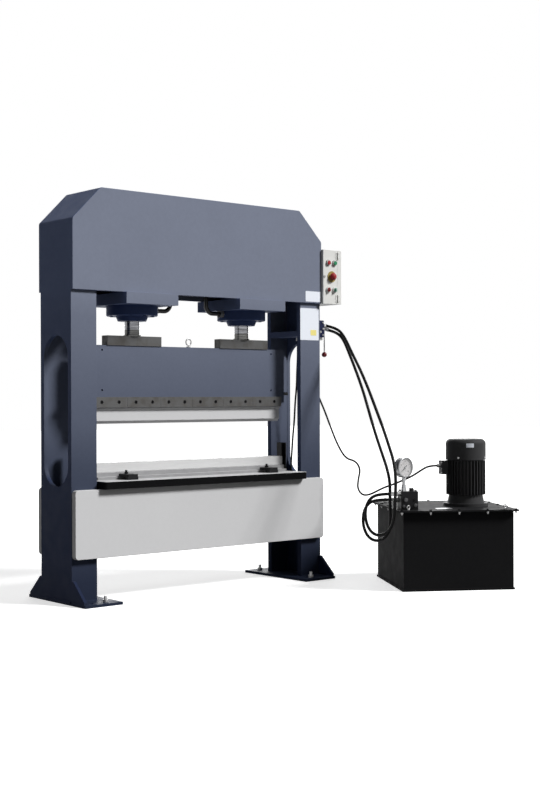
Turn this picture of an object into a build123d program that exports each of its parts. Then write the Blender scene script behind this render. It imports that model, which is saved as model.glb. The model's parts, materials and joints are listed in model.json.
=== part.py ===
# Two-cylinder hydraulic press brake with its own power unit, millimetres.
# X runs along the bed, -Y is the front, +Z is up.
# The origin is on the floor, at the centre of the four anchor holes in the feet.
import os
from math import asin, cos, radians, sin, tan
from build123d import *

os.makedirs("parts", exist_ok=True)

# Frame
frame_width = 1575.0
column_depth = 275.0
flange_width = 140.0
flange_thickness = 28.0
web_thickness = 20.0
opening_width = 216.0
opening_top = 1272.0
opening_bottom = 549.0
rib_thickness = 30.0
upper_rib_height = 1302.0
lower_rib_height = 500.0

# Feet
foot_thickness = 14.0
foot_width = 208.0
foot_depth = 510.0
gusset_thickness = 15.0
gusset_height = 100.0
gusset_flat = 14.0
gusset_reach = 108.0
gusset_toe = 12.0
anchor_hole_radius = 11.0
anchor_spacing_x = 1450.0
anchor_spacing_y = 424.0
screw_inset = 75.0
screw_radius = 8.0
screw_length = 44.0

# Head
head_bottom = 1483.0
head_top = 1973.0
head_chamfer = 157.5
head_bend = 16.0
head_plate = 15.0
cover_plate = 10.0

# Cylinders
cylinder_spacing = 699.0
cylinder_plate_length = 307.0
cylinder_plate_depth = 360.0
cylinder_plate_height = 55.0
barrel_radius = 110.0
barrel_length = 350.0
barrel_floor = 28.0
bore_radius = 70.0
flange_radius = 127.5
flange_height = 50.0
gland_radius = 81.0
gland_nose_radius = 71.0
gland_height = 25.0
rod_radius = 37.5
running_clearance = 0.08
seat_clearance = 0.5
piston_height = 45.0
piston_rest_gap = 60.0
groove_depth = 1.5
groove_height = 3.0

# Ram and tooling
ram_length = 1260.0
ram_thickness = 40.0
ram_top = 1231.0
ram_height = 286.0
lip_thickness = 8.0
lip_height = 30.0
tap_hole_radius = 5.0
tap_hole_inset_x = 91.0
tap_hole_inset_top = 24.0
tap_hole_inset_bottom = 67.0
block_length = 325.0
block_thickness = 50.0
block_height = 48.0
rod_end_height = 32.0
rod_end_collar = 43.0
guide_reach = 34.0
guide_height = 16.0
guide_width = 30.0
guide_above_ram = 41.0
clamp_count = 6
clamp_pitch = 200.0
clamp_gap = 1.2
clamp_thickness = 14.0
clamp_height = 50.5
clamp_bottom = 927.0
clamp_bolt_radius = 6.0
clamp_head_radius = 9.0
clamp_head_height = 10.0
clamp_bolt_length = 34.0
socket_across = 10.0
socket_depth = 6.0
punch_thickness = 28.0
punch_tang_height = 25.0
punch_tip = 847.0
eye_radius = 16.0
eye_wire = 3.6
eye_stem = 13.0
eye_flange_radius = 12.0
eye_flange_height = 5.0

# Bed and table
bed_bottom = 215.0
bed_top = 540.0
bed_plate = 30.0
bed_length = 1570.0
bed_corner = 18.0
bed_rib_count = 5
bed_rib_pitch = 240.0
bed_rib_height = 300.0
table_length = 1278.0
table_depth = 400.0
table_thickness = 37.0
table_corner = 14.0
die_base_depth = 110.0
die_base_height = 34.0
die_ledge = 20.0
die_ledge_height = 14.0
die_depth = 80.0
die_height = 46.5
die_groove = 32.0
toe_length = 84.0
toe_width = 60.0
toe_thickness = 13.0
toe_spacing = 894.0
toe_stud_radius = 6.0
toe_nut_across = 18.0
toe_nut_height = 9.0
toe_stud_tail = 9.0
post_size = 36.0
post_wall = 6.0
post_height = 727.0
post_gap = 46.0
post_offset_y = 40.0

# Control box on the right of the head
box_width = 132.0
box_depth = 150.0
box_bottom = 1483.0
box_height = 293.0
box_wall = 2.5
box_strip = 28.0
door_depth = 15.0
door_gap = 1.0
button_radius = 11.0
button_bezel = 14.5
button_proud = 12.0
button_travel = 4.0
button_stem = 7.0
button_columns = 46.0
button_row_top = 1706.0
button_row_low = 1559.0
stop_row = 1631.0
stop_ring_radius = 30.0
stop_ring_height = 2.5
stop_head_radius = 20.0
stop_neck_radius = 11.0
stop_head_proud = 30.0
gear_plate = 2.0
hinge_knuckle = 3.5
hinge_leaf = 12.0
hinge_leaf_thickness = 1.5
hinge_length = 40.0
hinge_inset = 30.0

# Valve on the right column
valve_width = 58.0
valve_depth = 60.0
valve_bottom = 1303.0
valve_height = 92.0
valve_front = 112.0
lever_radius = 3.2
lever_length = 145.0
lever_hub_radius = 9.0
lever_hub_reach = 14.0
lever_height = 1366.0
lever_knob_radius = 14.5

# Power unit, turned about its front left corner
unit_x = 702.0
unit_y = -846.0
unit_turn = -32.4
tank_width = 570.0
tank_length = 590.0
tank_height = 397.0
tank_wall = 4.0
tank_rim = 16.0
tank_skirt = 10.0
tank_skirt_reach = 5.0
lid_overhang = 24.0
lid_thickness = 8.0
lid_screw_head = 7.0
lid_screw_head_height = 5.0
lid_screws_across = 5
lid_screw_inset = 10.0
lift_eye_radius = 9.0
lift_eye_wire = 3.0
motor_u = 400.0
motor_v = 270.0
motor_flange_radius = 116.0
motor_flange_height = 16.0
motor_neck_radius = 96.0
motor_foot_height = 56.0
motor_core_radius = 88.0
motor_fin_radius = 102.0
motor_fin_count = 36
motor_fin_thickness = 4.5
motor_body_height = 185.0
motor_shaft_radius = 12.0
motor_bore_radius = 62.0
motor_rotor_radius = 55.0
motor_end_wall = 12.0
cowl_radius = 104.0
cowl_top_radius = 82.0
cowl_height = 108.0
cowl_shoulder = 26.0
cowl_wall = 2.5
cowl_slot_count = 18
fan_radius = 78.0
fan_height = 26.0
fan_blades = 7
terminal_size = 70.0
terminal_depth = 34.0
terminal_rise = 110.0
pump_radius = 52.0
pump_length = 130.0
pump_flange_radius = 72.0
pump_flange_height = 12.0
manifold_u = 4.0
manifold_v = 62.0
manifold_width = 88.0
manifold_depth = 84.0
manifold_height = 92.0
relief_radius = 11.0
relief_height = 16.0
gauge_x = 763.0
gauge_y = -790.0
gauge_height = 618.0
gauge_radius = 52.0
gauge_depth = 34.0
gauge_face_setback = 9.0
lens_thickness = 2.0
stem_radius = 8.0

# Hoses, cables and the pipe between the cylinders
hose_diameter = 15.7
cable_diameter = 10.0
nipple_across = 22.0
elbow_radius = 11.0
ferrule_radius = 10.5
ferrule_length = 32.0
gland_nut_across = 19.0
pipe_diameter = 22.0
pipe_bend = 40.0
pipe_below_plate = 17.0
pipe_rise = 149.0
pipe_offset_x = 115.0
pipe_nut_across = 34.0
pipe_nut_length = 24.0

# Derived places
half_width = frame_width / 2
half_depth = column_depth / 2
web_inner = half_width - web_thickness
flange_edge = half_width - flange_width
head_corner = head_top - head_chamfer
cover_foot = head_corner - head_bend
head_face = half_depth + head_plate
cylinder_x = cylinder_spacing / 2
plate_bottom = head_bottom - cylinder_plate_height
flange_bottom = plate_bottom - flange_height
pipe_height = plate_bottom - pipe_below_plate
pipe_top = pipe_height + pipe_rise
gland_bottom = flange_bottom - gland_height
barrel_top = plate_bottom + barrel_length
bore_bottom = flange_bottom + barrel_floor
bore_top = barrel_top - barrel_floor
piston_top = bore_top - piston_rest_gap
ram_bottom = ram_top - ram_height
block_top = ram_top + block_height
punch_length = clamp_count * clamp_pitch
clamp_front = -ram_thickness / 2 - clamp_thickness
clamp_bolt_height = clamp_bottom + clamp_height / 2
table_top = bed_top + table_thickness
die_length = punch_length
post_offset_x = die_length / 2 + post_gap + post_size / 2
die_base_top = table_top + die_base_height
die_top = die_base_top + die_height
column_top = cover_foot
box_left = half_width + 0.5
box_front = -head_face - 0.5
door_front = box_front - door_depth
door_right = box_left + box_width - box_strip
door_middle = (box_left + door_right) / 2
hinge_x = door_right + door_gap / 2
hinge_y = door_front - hinge_knuckle
hinge_heights = (box_bottom + hinge_inset, box_bottom + box_height - hinge_inset)
gear_back = box_front + box_depth - box_wall
valve_left = half_width
valve_right = valve_left + valve_width
valve_middle_y = -valve_front + valve_depth / 2
lever_y = -valve_front + lever_hub_radius
lid_bottom = tank_height
lid_top = lid_bottom + lid_thickness
motor_bottom = lid_top
motor_body_bottom = motor_bottom + motor_foot_height
motor_body_top = motor_body_bottom + motor_body_height
manifold_top = lid_top + manifold_height
unit_plane = Plane(
    origin=(unit_x, unit_y, 0),
    x_dir=(cos(radians(unit_turn)), sin(radians(unit_turn)), 0),
    z_dir=(0, 0, 1),
)


def unit_point(u, v, height):
    """A point of the power unit, u across its front and v behind its front."""
    return unit_plane.from_local_coords(Vector(u, v, height))


def save(part, name):
    part.part.label = name
    export_step(part.part, f"parts/{name}.step")


# Columns: an outer web with a long window, two flanges and two inner ribs
def column(side):
    outline_height = column_top - foot_thickness
    web_middle = side * (half_width - web_thickness / 2)
    flange_middle = side * (half_width - flange_width / 2)
    flange_y = half_depth - flange_thickness / 2
    with BuildPart() as part:
        with BuildSketch(Plane.XY.offset(foot_thickness)):
            with Locations((web_middle, 0)):
                Rectangle(web_thickness, column_depth)
            with Locations((flange_middle, flange_y), (flange_middle, -flange_y)):
                Rectangle(flange_width, flange_thickness)
        extrude(amount=outline_height)
        rib_length = flange_width - web_thickness
        rib_middle = side * (web_inner - rib_length / 2)
        for height in (upper_rib_height, lower_rib_height):
            with BuildSketch(Plane.XY.offset(height)):
                with Locations((rib_middle, 0)):
                    Rectangle(rib_length, column_depth - 2 * flange_thickness)
            extrude(amount=rib_thickness)
        window_middle = (opening_top + opening_bottom) / 2
        window_height = opening_top - opening_bottom
        with BuildSketch(Plane.YZ.offset(web_middle)):
            with Locations((0, window_middle)):
                SlotOverall(window_height, opening_width, rotation=90)
        extrude(amount=web_thickness, both=True, mode=Mode.SUBTRACT)
    return part


save(column(-1), "column_left")
save(column(1), "column_right")


# Feet: a floor plate with gussets in the plane of the web
def foot(side):
    plate_middle = side * (half_width - foot_width / 2)
    hole_x = side * anchor_spacing_x / 2
    hole_y = anchor_spacing_y / 2
    screw_x = hole_x - side * screw_inset
    with BuildPart() as part:
        with BuildSketch():
            with Locations((plate_middle, 0)):
                Rectangle(foot_width, foot_depth)
            with Locations((hole_x, hole_y), (hole_x, -hole_y)):
                Circle(anchor_hole_radius, mode=Mode.SUBTRACT)
            with Locations((screw_x, hole_y), (screw_x, -hole_y)):
                Circle(screw_radius + seat_clearance, mode=Mode.SUBTRACT)
        extrude(amount=foot_thickness)
        top = foot_thickness + gusset_height
        reach = half_depth + gusset_reach
        for end in (-1, 1):
            with BuildSketch(Plane.YZ.offset(side * (half_width - gusset_thickness / 2))):
                with BuildLine():
                    Polyline(
                        (end * half_depth, foot_thickness),
                        (end * half_depth, top),
                        (end * (half_depth + gusset_flat), top),
                        (end * reach, foot_thickness + gusset_toe),
                        (end * reach, foot_thickness),
                        close=True,
                    )
                make_face()
            extrude(amount=gusset_thickness / 2, both=True)
    return part


save(foot(-1), "foot_left")
save(foot(1), "foot_right")

# Levelling screws: a hexagon nut on a stud, one beside each anchor hole
with BuildPart() as levelling_screws:
    nut_across = 3.2 * screw_radius
    spots = [
        (sx * (anchor_spacing_x / 2 - screw_inset), sy * anchor_spacing_y / 2)
        for sx in (-1, 1)
        for sy in (-1, 1)
    ]
    with BuildSketch():
        with Locations(*spots):
            Circle(screw_radius)
    extrude(amount=screw_length)
    with BuildSketch(Plane.XY.offset(foot_thickness)):
        with Locations(*spots):
            RegularPolygon(nut_across / 2, 6, major_radius=False)
    extrude(amount=screw_radius * 1.6)
save(levelling_screws, "levelling_screws")


# Head: a front and a back plate, and a folded cover between them
def head_outline():
    shoulder = half_width - head_chamfer
    Polyline(
        (-half_width, head_bottom),
        (-half_width, head_corner),
        (-shoulder, head_top),
        (shoulder, head_top),
        (half_width, head_corner),
        (half_width, head_bottom),
        close=True,
    )


def head_plate_at(plane):
    with BuildPart() as part:
        with BuildSketch(plane) as face:
            with BuildLine():
                head_outline()
            make_face()
            corners = face.vertices().filter_by(lambda v: v.Y > head_bottom + 1)
            fillet(corners, head_bend)
        extrude(amount=head_plate)
        outer = part.faces().filter_by(Axis.Y).sort_by(Axis.Y)
        rim = outer[0] if plane.origin.Y < 0 else outer[-1]
        chamfer(rim.edges(), 1.0)
    return part


save(head_plate_at(Plane.XZ.offset(half_depth)), "head_front_plate")
save(head_plate_at(Plane.XZ.offset(-half_depth - head_plate)), "head_back_plate")

with BuildPart() as head_cover:
    with BuildSketch(Plane.XZ.offset(-half_depth)) as strip:
        with BuildLine():
            head_outline()
        make_face()
        fillet(strip.vertices().filter_by(lambda v: v.Y > head_bottom + 1), head_bend)
        offset(amount=-cover_plate, mode=Mode.SUBTRACT)
        with Locations((0, (head_bottom + cover_foot) / 2)):
            Rectangle(frame_width, cover_foot - head_bottom, mode=Mode.SUBTRACT)
    extrude(amount=column_depth)
save(head_cover, "head_cover")

# Cylinder plates: thick plates under the head that the barrels hang from
with BuildPart() as cylinder_plates:
    with BuildSketch(Plane.XY.offset(plate_bottom)):
        with Locations((-cylinder_x, 0), (cylinder_x, 0)):
            Rectangle(cylinder_plate_length, cylinder_plate_depth)
            Circle(barrel_radius + seat_clearance, mode=Mode.SUBTRACT)
    extrude(amount=cylinder_plate_height)
save(cylinder_plates, "cylinder_plates")


# Cylinders: a barrel with its bore and a round flange under the plate
def cylinder(side):
    with BuildPart() as part:
        with BuildSketch(Plane.XZ) as section:
            with BuildLine():
                Polyline(
                    (rod_radius + 3, flange_bottom),
                    (flange_radius - 3, flange_bottom),
                    (flange_radius, flange_bottom + 3),
                    (flange_radius, plate_bottom),
                    (barrel_radius, plate_bottom),
                    (barrel_radius, barrel_top),
                    (0, barrel_top),
                    (0, bore_top),
                    (bore_radius, bore_top),
                    (bore_radius, bore_bottom),
                    (rod_radius + 3, bore_bottom),
                    close=True,
                )
            make_face()
        revolve(axis=Axis.Z)
    part.part.locate(Location((side * cylinder_x, 0, 0)))
    return part


save(cylinder(-1), "cylinder_left")
save(cylinder(1), "cylinder_right")

with BuildPart() as glands:
    for side in (-1, 1):
        with BuildSketch(Plane.XY.offset(flange_bottom)):
            with Locations((side * cylinder_x, 0)):
                Circle(gland_radius)
        with BuildSketch(Plane.XY.offset(gland_bottom)):
            with Locations((side * cylinder_x, 0)):
                Circle(gland_nose_radius)
        loft()
    with BuildSketch(Plane.XY.offset(gland_bottom)):
        with Locations((-cylinder_x, 0), (cylinder_x, 0)):
            Circle(rod_radius + running_clearance)
    extrude(amount=gland_height, mode=Mode.SUBTRACT)
save(glands, "glands")


# Rods: a chromed rod with its piston inside the barrel
def rod(side):
    rod_bottom = block_top + rod_end_height
    with BuildPart() as part:
        with BuildSketch(Plane.XY.offset(rod_bottom)):
            with Locations((side * cylinder_x, 0)):
                Circle(rod_radius)
        extrude(amount=piston_top - rod_bottom)
        with BuildSketch(Plane.XY.offset(piston_top - piston_height)):
            with Locations((side * cylinder_x, 0)):
                Circle(bore_radius - running_clearance)
        extrude(amount=piston_height)
        for height in (rod_bottom, rod_bottom + 20):
            with BuildSketch(Plane.XY.offset(height)):
                with Locations((side * cylinder_x, 0)):
                    Circle(rod_radius + 1)
                    Circle(rod_radius - groove_depth, mode=Mode.SUBTRACT)
            extrude(amount=groove_height, mode=Mode.SUBTRACT)
    return part


save(rod(-1), "rod_left")
save(rod(1), "rod_right")

with BuildPart() as rod_ends:
    with BuildSketch(Plane.XY.offset(block_top)):
        with Locations((-cylinder_x, 0), (cylinder_x, 0)):
            Circle(rod_radius)
    extrude(amount=rod_end_height)
    with BuildSketch(Plane.XY.offset(block_top)):
        with Locations((-cylinder_x, 0), (cylinder_x, 0)):
            Circle(min(rod_end_collar, rod_radius + 5.5))
            Rectangle(2 * rod_end_collar, block_thickness - 4, mode=Mode.INTERSECT)
    extrude(amount=6)
save(rod_ends, "rod_ends")

# Ram: a thick plate with a rear lip that backs the punch
with BuildPart() as ram_beam:
    with BuildSketch(Plane.YZ.offset(-ram_length / 2)):
        with BuildLine():
            Polyline(
                (-ram_thickness / 2, ram_top),
                (ram_thickness / 2, ram_top),
                (ram_thickness / 2, ram_bottom - lip_height),
                (ram_thickness / 2 - lip_thickness, ram_bottom - lip_height),
                (ram_thickness / 2 - lip_thickness, ram_bottom),
                (-ram_thickness / 2, ram_bottom),
                close=True,
            )
        make_face()
    extrude(amount=ram_length)
    hole_x = ram_length / 2 - tap_hole_inset_x
    hole_rows = (ram_top - tap_hole_inset_top, ram_bottom + tap_hole_inset_bottom)
    with BuildSketch(Plane.XZ.offset(ram_thickness / 2)):
        with Locations(*[(sx * hole_x, row) for sx in (-1, 1) for row in hole_rows]):
            Circle(tap_hole_radius)
    extrude(amount=-12, mode=Mode.SUBTRACT)
    with BuildSketch(Plane.XZ.offset(ram_thickness / 2)):
        with Locations((0, clamp_bolt_height)):
            with GridLocations(clamp_pitch / 2, 1, 2 * clamp_count, 1):
                Circle(clamp_bolt_radius + seat_clearance)
    extrude(amount=-clamp_bolt_length + 4, mode=Mode.SUBTRACT)
save(ram_beam, "ram_beam")

# Press blocks: the pads between the rods and the ram
with BuildPart() as press_blocks:
    with BuildSketch(Plane.XY.offset(ram_top)):
        with Locations((-cylinder_x, 0), (cylinder_x, 0)):
            Rectangle(block_length, block_thickness)
    extrude(amount=block_height)
    chamfer(press_blocks.edges().filter_by(Axis.Z), 1.5)
save(press_blocks, "press_blocks")

# Guide bars on the ends of the ram
with BuildPart() as guide_bars:
    middle = ram_length / 2 + guide_reach / 2
    with BuildSketch(Plane.XY.offset(ram_bottom + guide_above_ram)):
        with Locations((-middle, 0), (middle, 0)):
            Rectangle(guide_reach, guide_width)
    extrude(amount=guide_height)
save(guide_bars, "guide_bars")

# Clamp plates: six short plates in a row, each with two counterbored holes
with BuildPart() as clamp_plates:
    with BuildSketch(Plane.XZ.offset(ram_thickness / 2)):
        with Locations((0, clamp_bolt_height)):
            with GridLocations(clamp_pitch, 1, clamp_count, 1):
                Rectangle(clamp_pitch - clamp_gap, clamp_height)
            with GridLocations(clamp_pitch / 2, 1, 2 * clamp_count, 1):
                Circle(clamp_bolt_radius + seat_clearance, mode=Mode.SUBTRACT)
    extrude(amount=clamp_thickness)
    with BuildSketch(Plane.XZ.offset(-clamp_front)):
        with Locations((0, clamp_bolt_height)):
            with GridLocations(clamp_pitch / 2, 1, 2 * clamp_count, 1):
                Circle(clamp_head_radius + seat_clearance)
    extrude(amount=-clamp_head_height, mode=Mode.SUBTRACT)
save(clamp_plates, "clamp_plates")

# Clamp bolts: socket heads sunk in the clamp plates
with BuildPart() as clamp_bolts:
    with BuildSketch(Plane.XZ.offset(-clamp_front)):
        with Locations((0, clamp_bolt_height)):
            with GridLocations(clamp_pitch / 2, 1, 2 * clamp_count, 1):
                Circle(clamp_head_radius)
    extrude(amount=-clamp_head_height)
    with BuildSketch(Plane.XZ.offset(-clamp_front - clamp_head_height)):
        with Locations((0, clamp_bolt_height)):
            with GridLocations(clamp_pitch / 2, 1, 2 * clamp_count, 1):
                Circle(clamp_bolt_radius)
    extrude(amount=-clamp_bolt_length + clamp_head_height)
    with BuildSketch(Plane.XZ.offset(-clamp_front)):
        with Locations((0, clamp_bolt_height)):
            with GridLocations(clamp_pitch / 2, 1, 2 * clamp_count, 1):
                RegularPolygon(socket_across / 2, 6, major_radius=False)
    extrude(amount=-socket_depth, mode=Mode.SUBTRACT)
save(clamp_bolts, "clamp_bolts")

# Punch: a tang held behind the clamp plates and a blade that ends in a right angle
with BuildPart() as punch:
    half_blade = punch_thickness / 2
    tang_bottom = ram_bottom - punch_tang_height
    blade_edge = punch_tip + half_blade
    blade_back = ram_thickness / 2 - lip_thickness
    with BuildSketch(Plane.YZ.offset(-punch_length / 2)):
        with BuildLine():
            Polyline(
                (-ram_thickness / 2, ram_bottom),
                (blade_back, ram_bottom),
                (blade_back, ram_bottom - lip_height - 2),
                (half_blade, ram_bottom - lip_height - 4),
                (half_blade, blade_edge),
                (0, punch_tip),
                (-half_blade, blade_edge),
                (-half_blade, tang_bottom - 6),
                (-ram_thickness / 2, tang_bottom),
                close=True,
            )
        make_face()
    extrude(amount=punch_length)
save(punch, "punch")

# Lifting eye in the middle of the ram
with BuildPart() as eyebolt:
    with BuildSketch(Plane.XY.offset(ram_top)):
        Circle(eye_flange_radius)
    extrude(amount=eye_flange_height)
    with BuildSketch(Plane.XY.offset(ram_top + eye_flange_height)):
        Circle(eye_wire + 1)
    extrude(amount=eye_stem - eye_flange_height)
    with BuildSketch(Plane.XZ):
        with Locations((eye_radius, 0)):
            Circle(eye_wire)
    ring_axis = Axis((0, 0, 0), (0, 0, 1))
    eye_ring = revolve(axis=ring_axis, mode=Mode.PRIVATE)
    ring_middle = ram_top + eye_stem + eye_radius - eye_wire / 2
    add(Location((0, 0, ring_middle), (90, 0, 0)) * eye_ring)
save(eyebolt, "eyebolt")


# Bed: two wide plates lapped over the columns, with ribs between them
def bed_plate_at(plane):
    with BuildPart() as part:
        with BuildSketch(plane):
            with Locations((0, (bed_bottom + bed_top) / 2)):
                RectangleRounded(bed_length, bed_top - bed_bottom, bed_corner)
        extrude(amount=bed_plate)
        rims = part.faces().filter_by(Axis.Y).sort_by(Axis.Y)
        rim = rims[0] if plane.origin.Y < 0 else rims[-1]
        chamfer(rim.edges(), 1.5)
    return part


save(bed_plate_at(Plane.XZ.offset(half_depth)), "bed_front_plate")
save(bed_plate_at(Plane.XZ.offset(-half_depth - bed_plate)), "bed_back_plate")

with BuildPart() as bed_ribs:
    with BuildSketch(Plane.XY.offset(bed_top - bed_rib_height)):
        with GridLocations(bed_rib_pitch, 1, bed_rib_count, 1):
            Rectangle(web_thickness, column_depth)
    extrude(amount=bed_rib_height)
save(bed_ribs, "bed_ribs")

with BuildPart() as table:
    with BuildSketch(Plane.XY.offset(bed_top)):
        RectangleRounded(table_length, table_depth, table_corner)
    extrude(amount=table_thickness)
    chamfer(table.faces().sort_by(Axis.Z)[-1].edges(), 1.5)
    chamfer(table.faces().sort_by(Axis.Z)[0].edges(), 1.5)
save(table, "table")

# Lower tooling: a rail with a ledge on each side, and the grooved die on it
with BuildPart() as die_base:
    with BuildSketch(Plane.XY.offset(table_top)):
        Rectangle(die_length, die_base_depth + 2 * die_ledge)
    extrude(amount=die_ledge_height)
    with BuildSketch(Plane.XY.offset(table_top + die_ledge_height)):
        Rectangle(die_length, die_base_depth)
    extrude(amount=die_base_height - die_ledge_height)
save(die_base, "die_base")

with BuildPart() as die:
    with BuildSketch(Plane.YZ.offset(-die_length / 2)) as die_section:
        with Locations((0, die_base_top + die_height / 2)):
            Rectangle(die_depth, die_height)
        chamfer(die_section.vertices(), 1.5)
        with BuildLine():
            Polyline(
                (-die_groove / 2, die_top),
                (0, die_top - die_groove / 2),
                (die_groove / 2, die_top),
                close=True,
            )
        make_face(mode=Mode.SUBTRACT)
    extrude(amount=die_length)
save(die, "die")

# Table clamps: a toe bar over the ledge, its heel, a stud and a nut
with BuildPart() as table_clamps:
    ledge_edge = -die_base_depth / 2 - die_ledge
    toe_middle = ledge_edge + die_ledge / 2 - toe_length / 2
    heel_length = toe_length / 3
    heel_middle = toe_middle - toe_length / 2 + heel_length / 2
    stud_y = ledge_edge - 14
    toe_bottom = table_top + die_ledge_height
    places = [-toe_spacing / 2, toe_spacing / 2]
    with BuildSketch(Plane.XY.offset(table_top)):
        with Locations(*[(x, heel_middle) for x in places]):
            Rectangle(toe_width, heel_length)
    extrude(amount=die_ledge_height)
    with BuildSketch(Plane.XY.offset(toe_bottom)):
        with Locations(*[(x, toe_middle) for x in places]):
            RectangleRounded(toe_width, toe_length, 6)
    extrude(amount=toe_thickness)
    with BuildSketch(Plane.XY.offset(table_top)):
        with Locations(*[(x, stud_y) for x in places]):
            Circle(toe_stud_radius)
    extrude(amount=die_ledge_height + toe_thickness + toe_nut_height + toe_stud_tail)
    with BuildSketch(Plane.XY.offset(toe_bottom + toe_thickness)):
        with Locations(*[(x, stud_y) for x in places]):
            RegularPolygon(toe_nut_across / 2, 6, major_radius=False)
    extrude(amount=toe_nut_height)
save(table_clamps, "table_clamps")

# Stop posts: short channels that stand on the lower ribs of the columns
with BuildPart() as stop_posts:
    post_bottom = lower_rib_height + rib_thickness
    with BuildSketch(Plane.XY.offset(post_bottom)):
        with Locations((-post_offset_x, post_offset_y), (post_offset_x, post_offset_y)):
            Rectangle(post_size, post_size)
        inner_y = post_offset_y - post_wall
        with Locations((-post_offset_x, inner_y), (post_offset_x, inner_y)):
            Rectangle(post_size - 2 * post_wall, post_size, mode=Mode.SUBTRACT)
    extrude(amount=post_height - post_bottom)
save(stop_posts, "stop_posts")

# Control box: an open case with a fixed strip down its right side
def hinge_half(way, knuckles):
    knuckle_pitch = hinge_length / 3
    reach = hinge_knuckle + seat_clearance
    leaf_y = door_front - hinge_leaf_thickness / 2
    with BuildPart() as part:
        for height in hinge_heights:
            foot = height - hinge_length / 2
            with BuildSketch(Plane.XY.offset(foot)):
                with Locations((hinge_x + way * (reach + hinge_leaf / 2), leaf_y)):
                    Rectangle(hinge_leaf, hinge_leaf_thickness)
            extrude(amount=hinge_length)
            for step in knuckles:
                with BuildSketch(Plane.XY.offset(foot + step * knuckle_pitch + seat_clearance / 2)):
                    with Locations((hinge_x, hinge_y)):
                        Circle(hinge_knuckle)
                    with Locations((hinge_x + way * reach / 2, leaf_y)):
                        Rectangle(reach, hinge_leaf_thickness)
                extrude(amount=knuckle_pitch - seat_clearance)
    return part.part


with BuildPart() as control_box:
    middle_y = box_front + box_depth / 2
    with BuildSketch(Plane.XY.offset(box_bottom)):
        with Locations((box_left + box_width / 2, middle_y)):
            Rectangle(box_width, box_depth)
    extrude(amount=box_height)
    inner_width = box_width - 2 * box_wall
    with BuildSketch(Plane.XY.offset(box_bottom + box_wall)):
        with Locations((box_left + box_width / 2, middle_y - box_wall)):
            Rectangle(inner_width, box_depth)
    extrude(amount=box_height - 2 * box_wall, mode=Mode.SUBTRACT)
    with BuildSketch(Plane.XY.offset(box_bottom)):
        strip_middle = (door_right + door_gap + box_left + box_width) / 2
        strip_width = box_left + box_width - door_right - door_gap
        with Locations((strip_middle, box_front - door_depth / 2 + box_wall)):
            Rectangle(strip_width, door_depth + 2 * box_wall)
    extrude(amount=box_height)
    add(hinge_half(1, (0, 2)))
save(control_box, "control_box")

# Door of the control box: a shallow pan with holes for the buttons and a raised ring around four of them
button_gap = button_travel + 0.5
button_left = door_middle - button_columns / 2 + 6
button_right = door_middle + button_columns / 2 + 6
stop_x = door_middle + 9
button_spots = [
    (button_left, button_row_top),
    (button_right, button_row_top),
    (stop_x, stop_row),
    (button_left, button_row_low),
    (button_right, button_row_low),
]
with BuildPart() as control_door:
    door_width = door_right - box_left
    with BuildSketch(Plane.XZ.offset(-box_front)):
        with Locations((door_middle, box_bottom + box_height / 2)):
            Rectangle(door_width, box_height)
    extrude(amount=door_depth)
    with BuildSketch(Plane.XZ.offset(-box_front)):
        with Locations((door_middle, box_bottom + box_height / 2)):
            Rectangle(door_width - 2 * box_wall, box_height - 2 * box_wall)
    extrude(amount=door_depth - box_wall, mode=Mode.SUBTRACT)
    with BuildSketch(Plane.XZ.offset(-box_front)):
        with Locations(*[spot for spot in button_spots if spot[0] != stop_x]):
            Circle(button_stem + seat_clearance)
        with Locations((stop_x, stop_row)):
            Circle(stop_neck_radius + seat_clearance)
    extrude(amount=door_depth, mode=Mode.SUBTRACT)
    with BuildSketch(Plane.XZ.offset(-door_front)):
        with Locations(*[spot for spot in button_spots if spot[0] != stop_x]):
            Circle(button_bezel)
            Circle(button_radius + seat_clearance, mode=Mode.SUBTRACT)
    extrude(amount=button_proud - button_travel)
    add(hinge_half(-1, (1,)))
save(control_door, "control_door")


# Buttons: a cap in front of the door and a stem through it
def push_button(x, height, cap_radius, cap_height, travel_gap):
    with BuildPart() as part:
        with BuildSketch(Plane.XZ.offset(-door_front + travel_gap)):
            with Locations((x, height)):
                Circle(cap_radius)
        extrude(amount=cap_height)
        with BuildSketch(Plane.XZ.offset(-door_front + travel_gap)):
            with Locations((x, height)):
                Circle(button_stem)
        extrude(amount=-travel_gap - door_depth - 4)
    return part


cap_height = button_proud - button_gap
save(push_button(*button_spots[0], button_radius, cap_height, button_gap), "stop_button")
save(push_button(*button_spots[1], button_radius, cap_height, button_gap), "start_button")


# Selectors: a round knob with a grip across it
def selector(x, height):
    with BuildPart() as part:
        with BuildSketch(Plane.XZ.offset(-door_front + seat_clearance)):
            with Locations((x, height)):
                Circle(button_radius)
        extrude(amount=button_proud - seat_clearance)
        with BuildSketch(Plane.XZ.offset(-door_front + button_proud)):
            with Locations((x, height)):
                SlotOverall(2 * button_radius - 3, 6, rotation=90)
        extrude(amount=7)
        with BuildSketch(Plane.XZ.offset(-door_front + seat_clearance)):
            with Locations((x, height)):
                Circle(button_stem)
        extrude(amount=-seat_clearance - door_depth - 4)
    return part


save(selector(*button_spots[3]), "selector_left")
save(selector(*button_spots[4]), "selector_right")

# Emergency stop: a round mushroom head over a flat ring
with BuildPart() as estop_ring:
    with BuildSketch(Plane.XZ.offset(-door_front)):
        with Locations((stop_x, stop_row)):
            Circle(stop_ring_radius)
            Circle(stop_neck_radius + 1.5, mode=Mode.SUBTRACT)
    extrude(amount=stop_ring_height)
save(estop_ring, "estop_ring")

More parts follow.
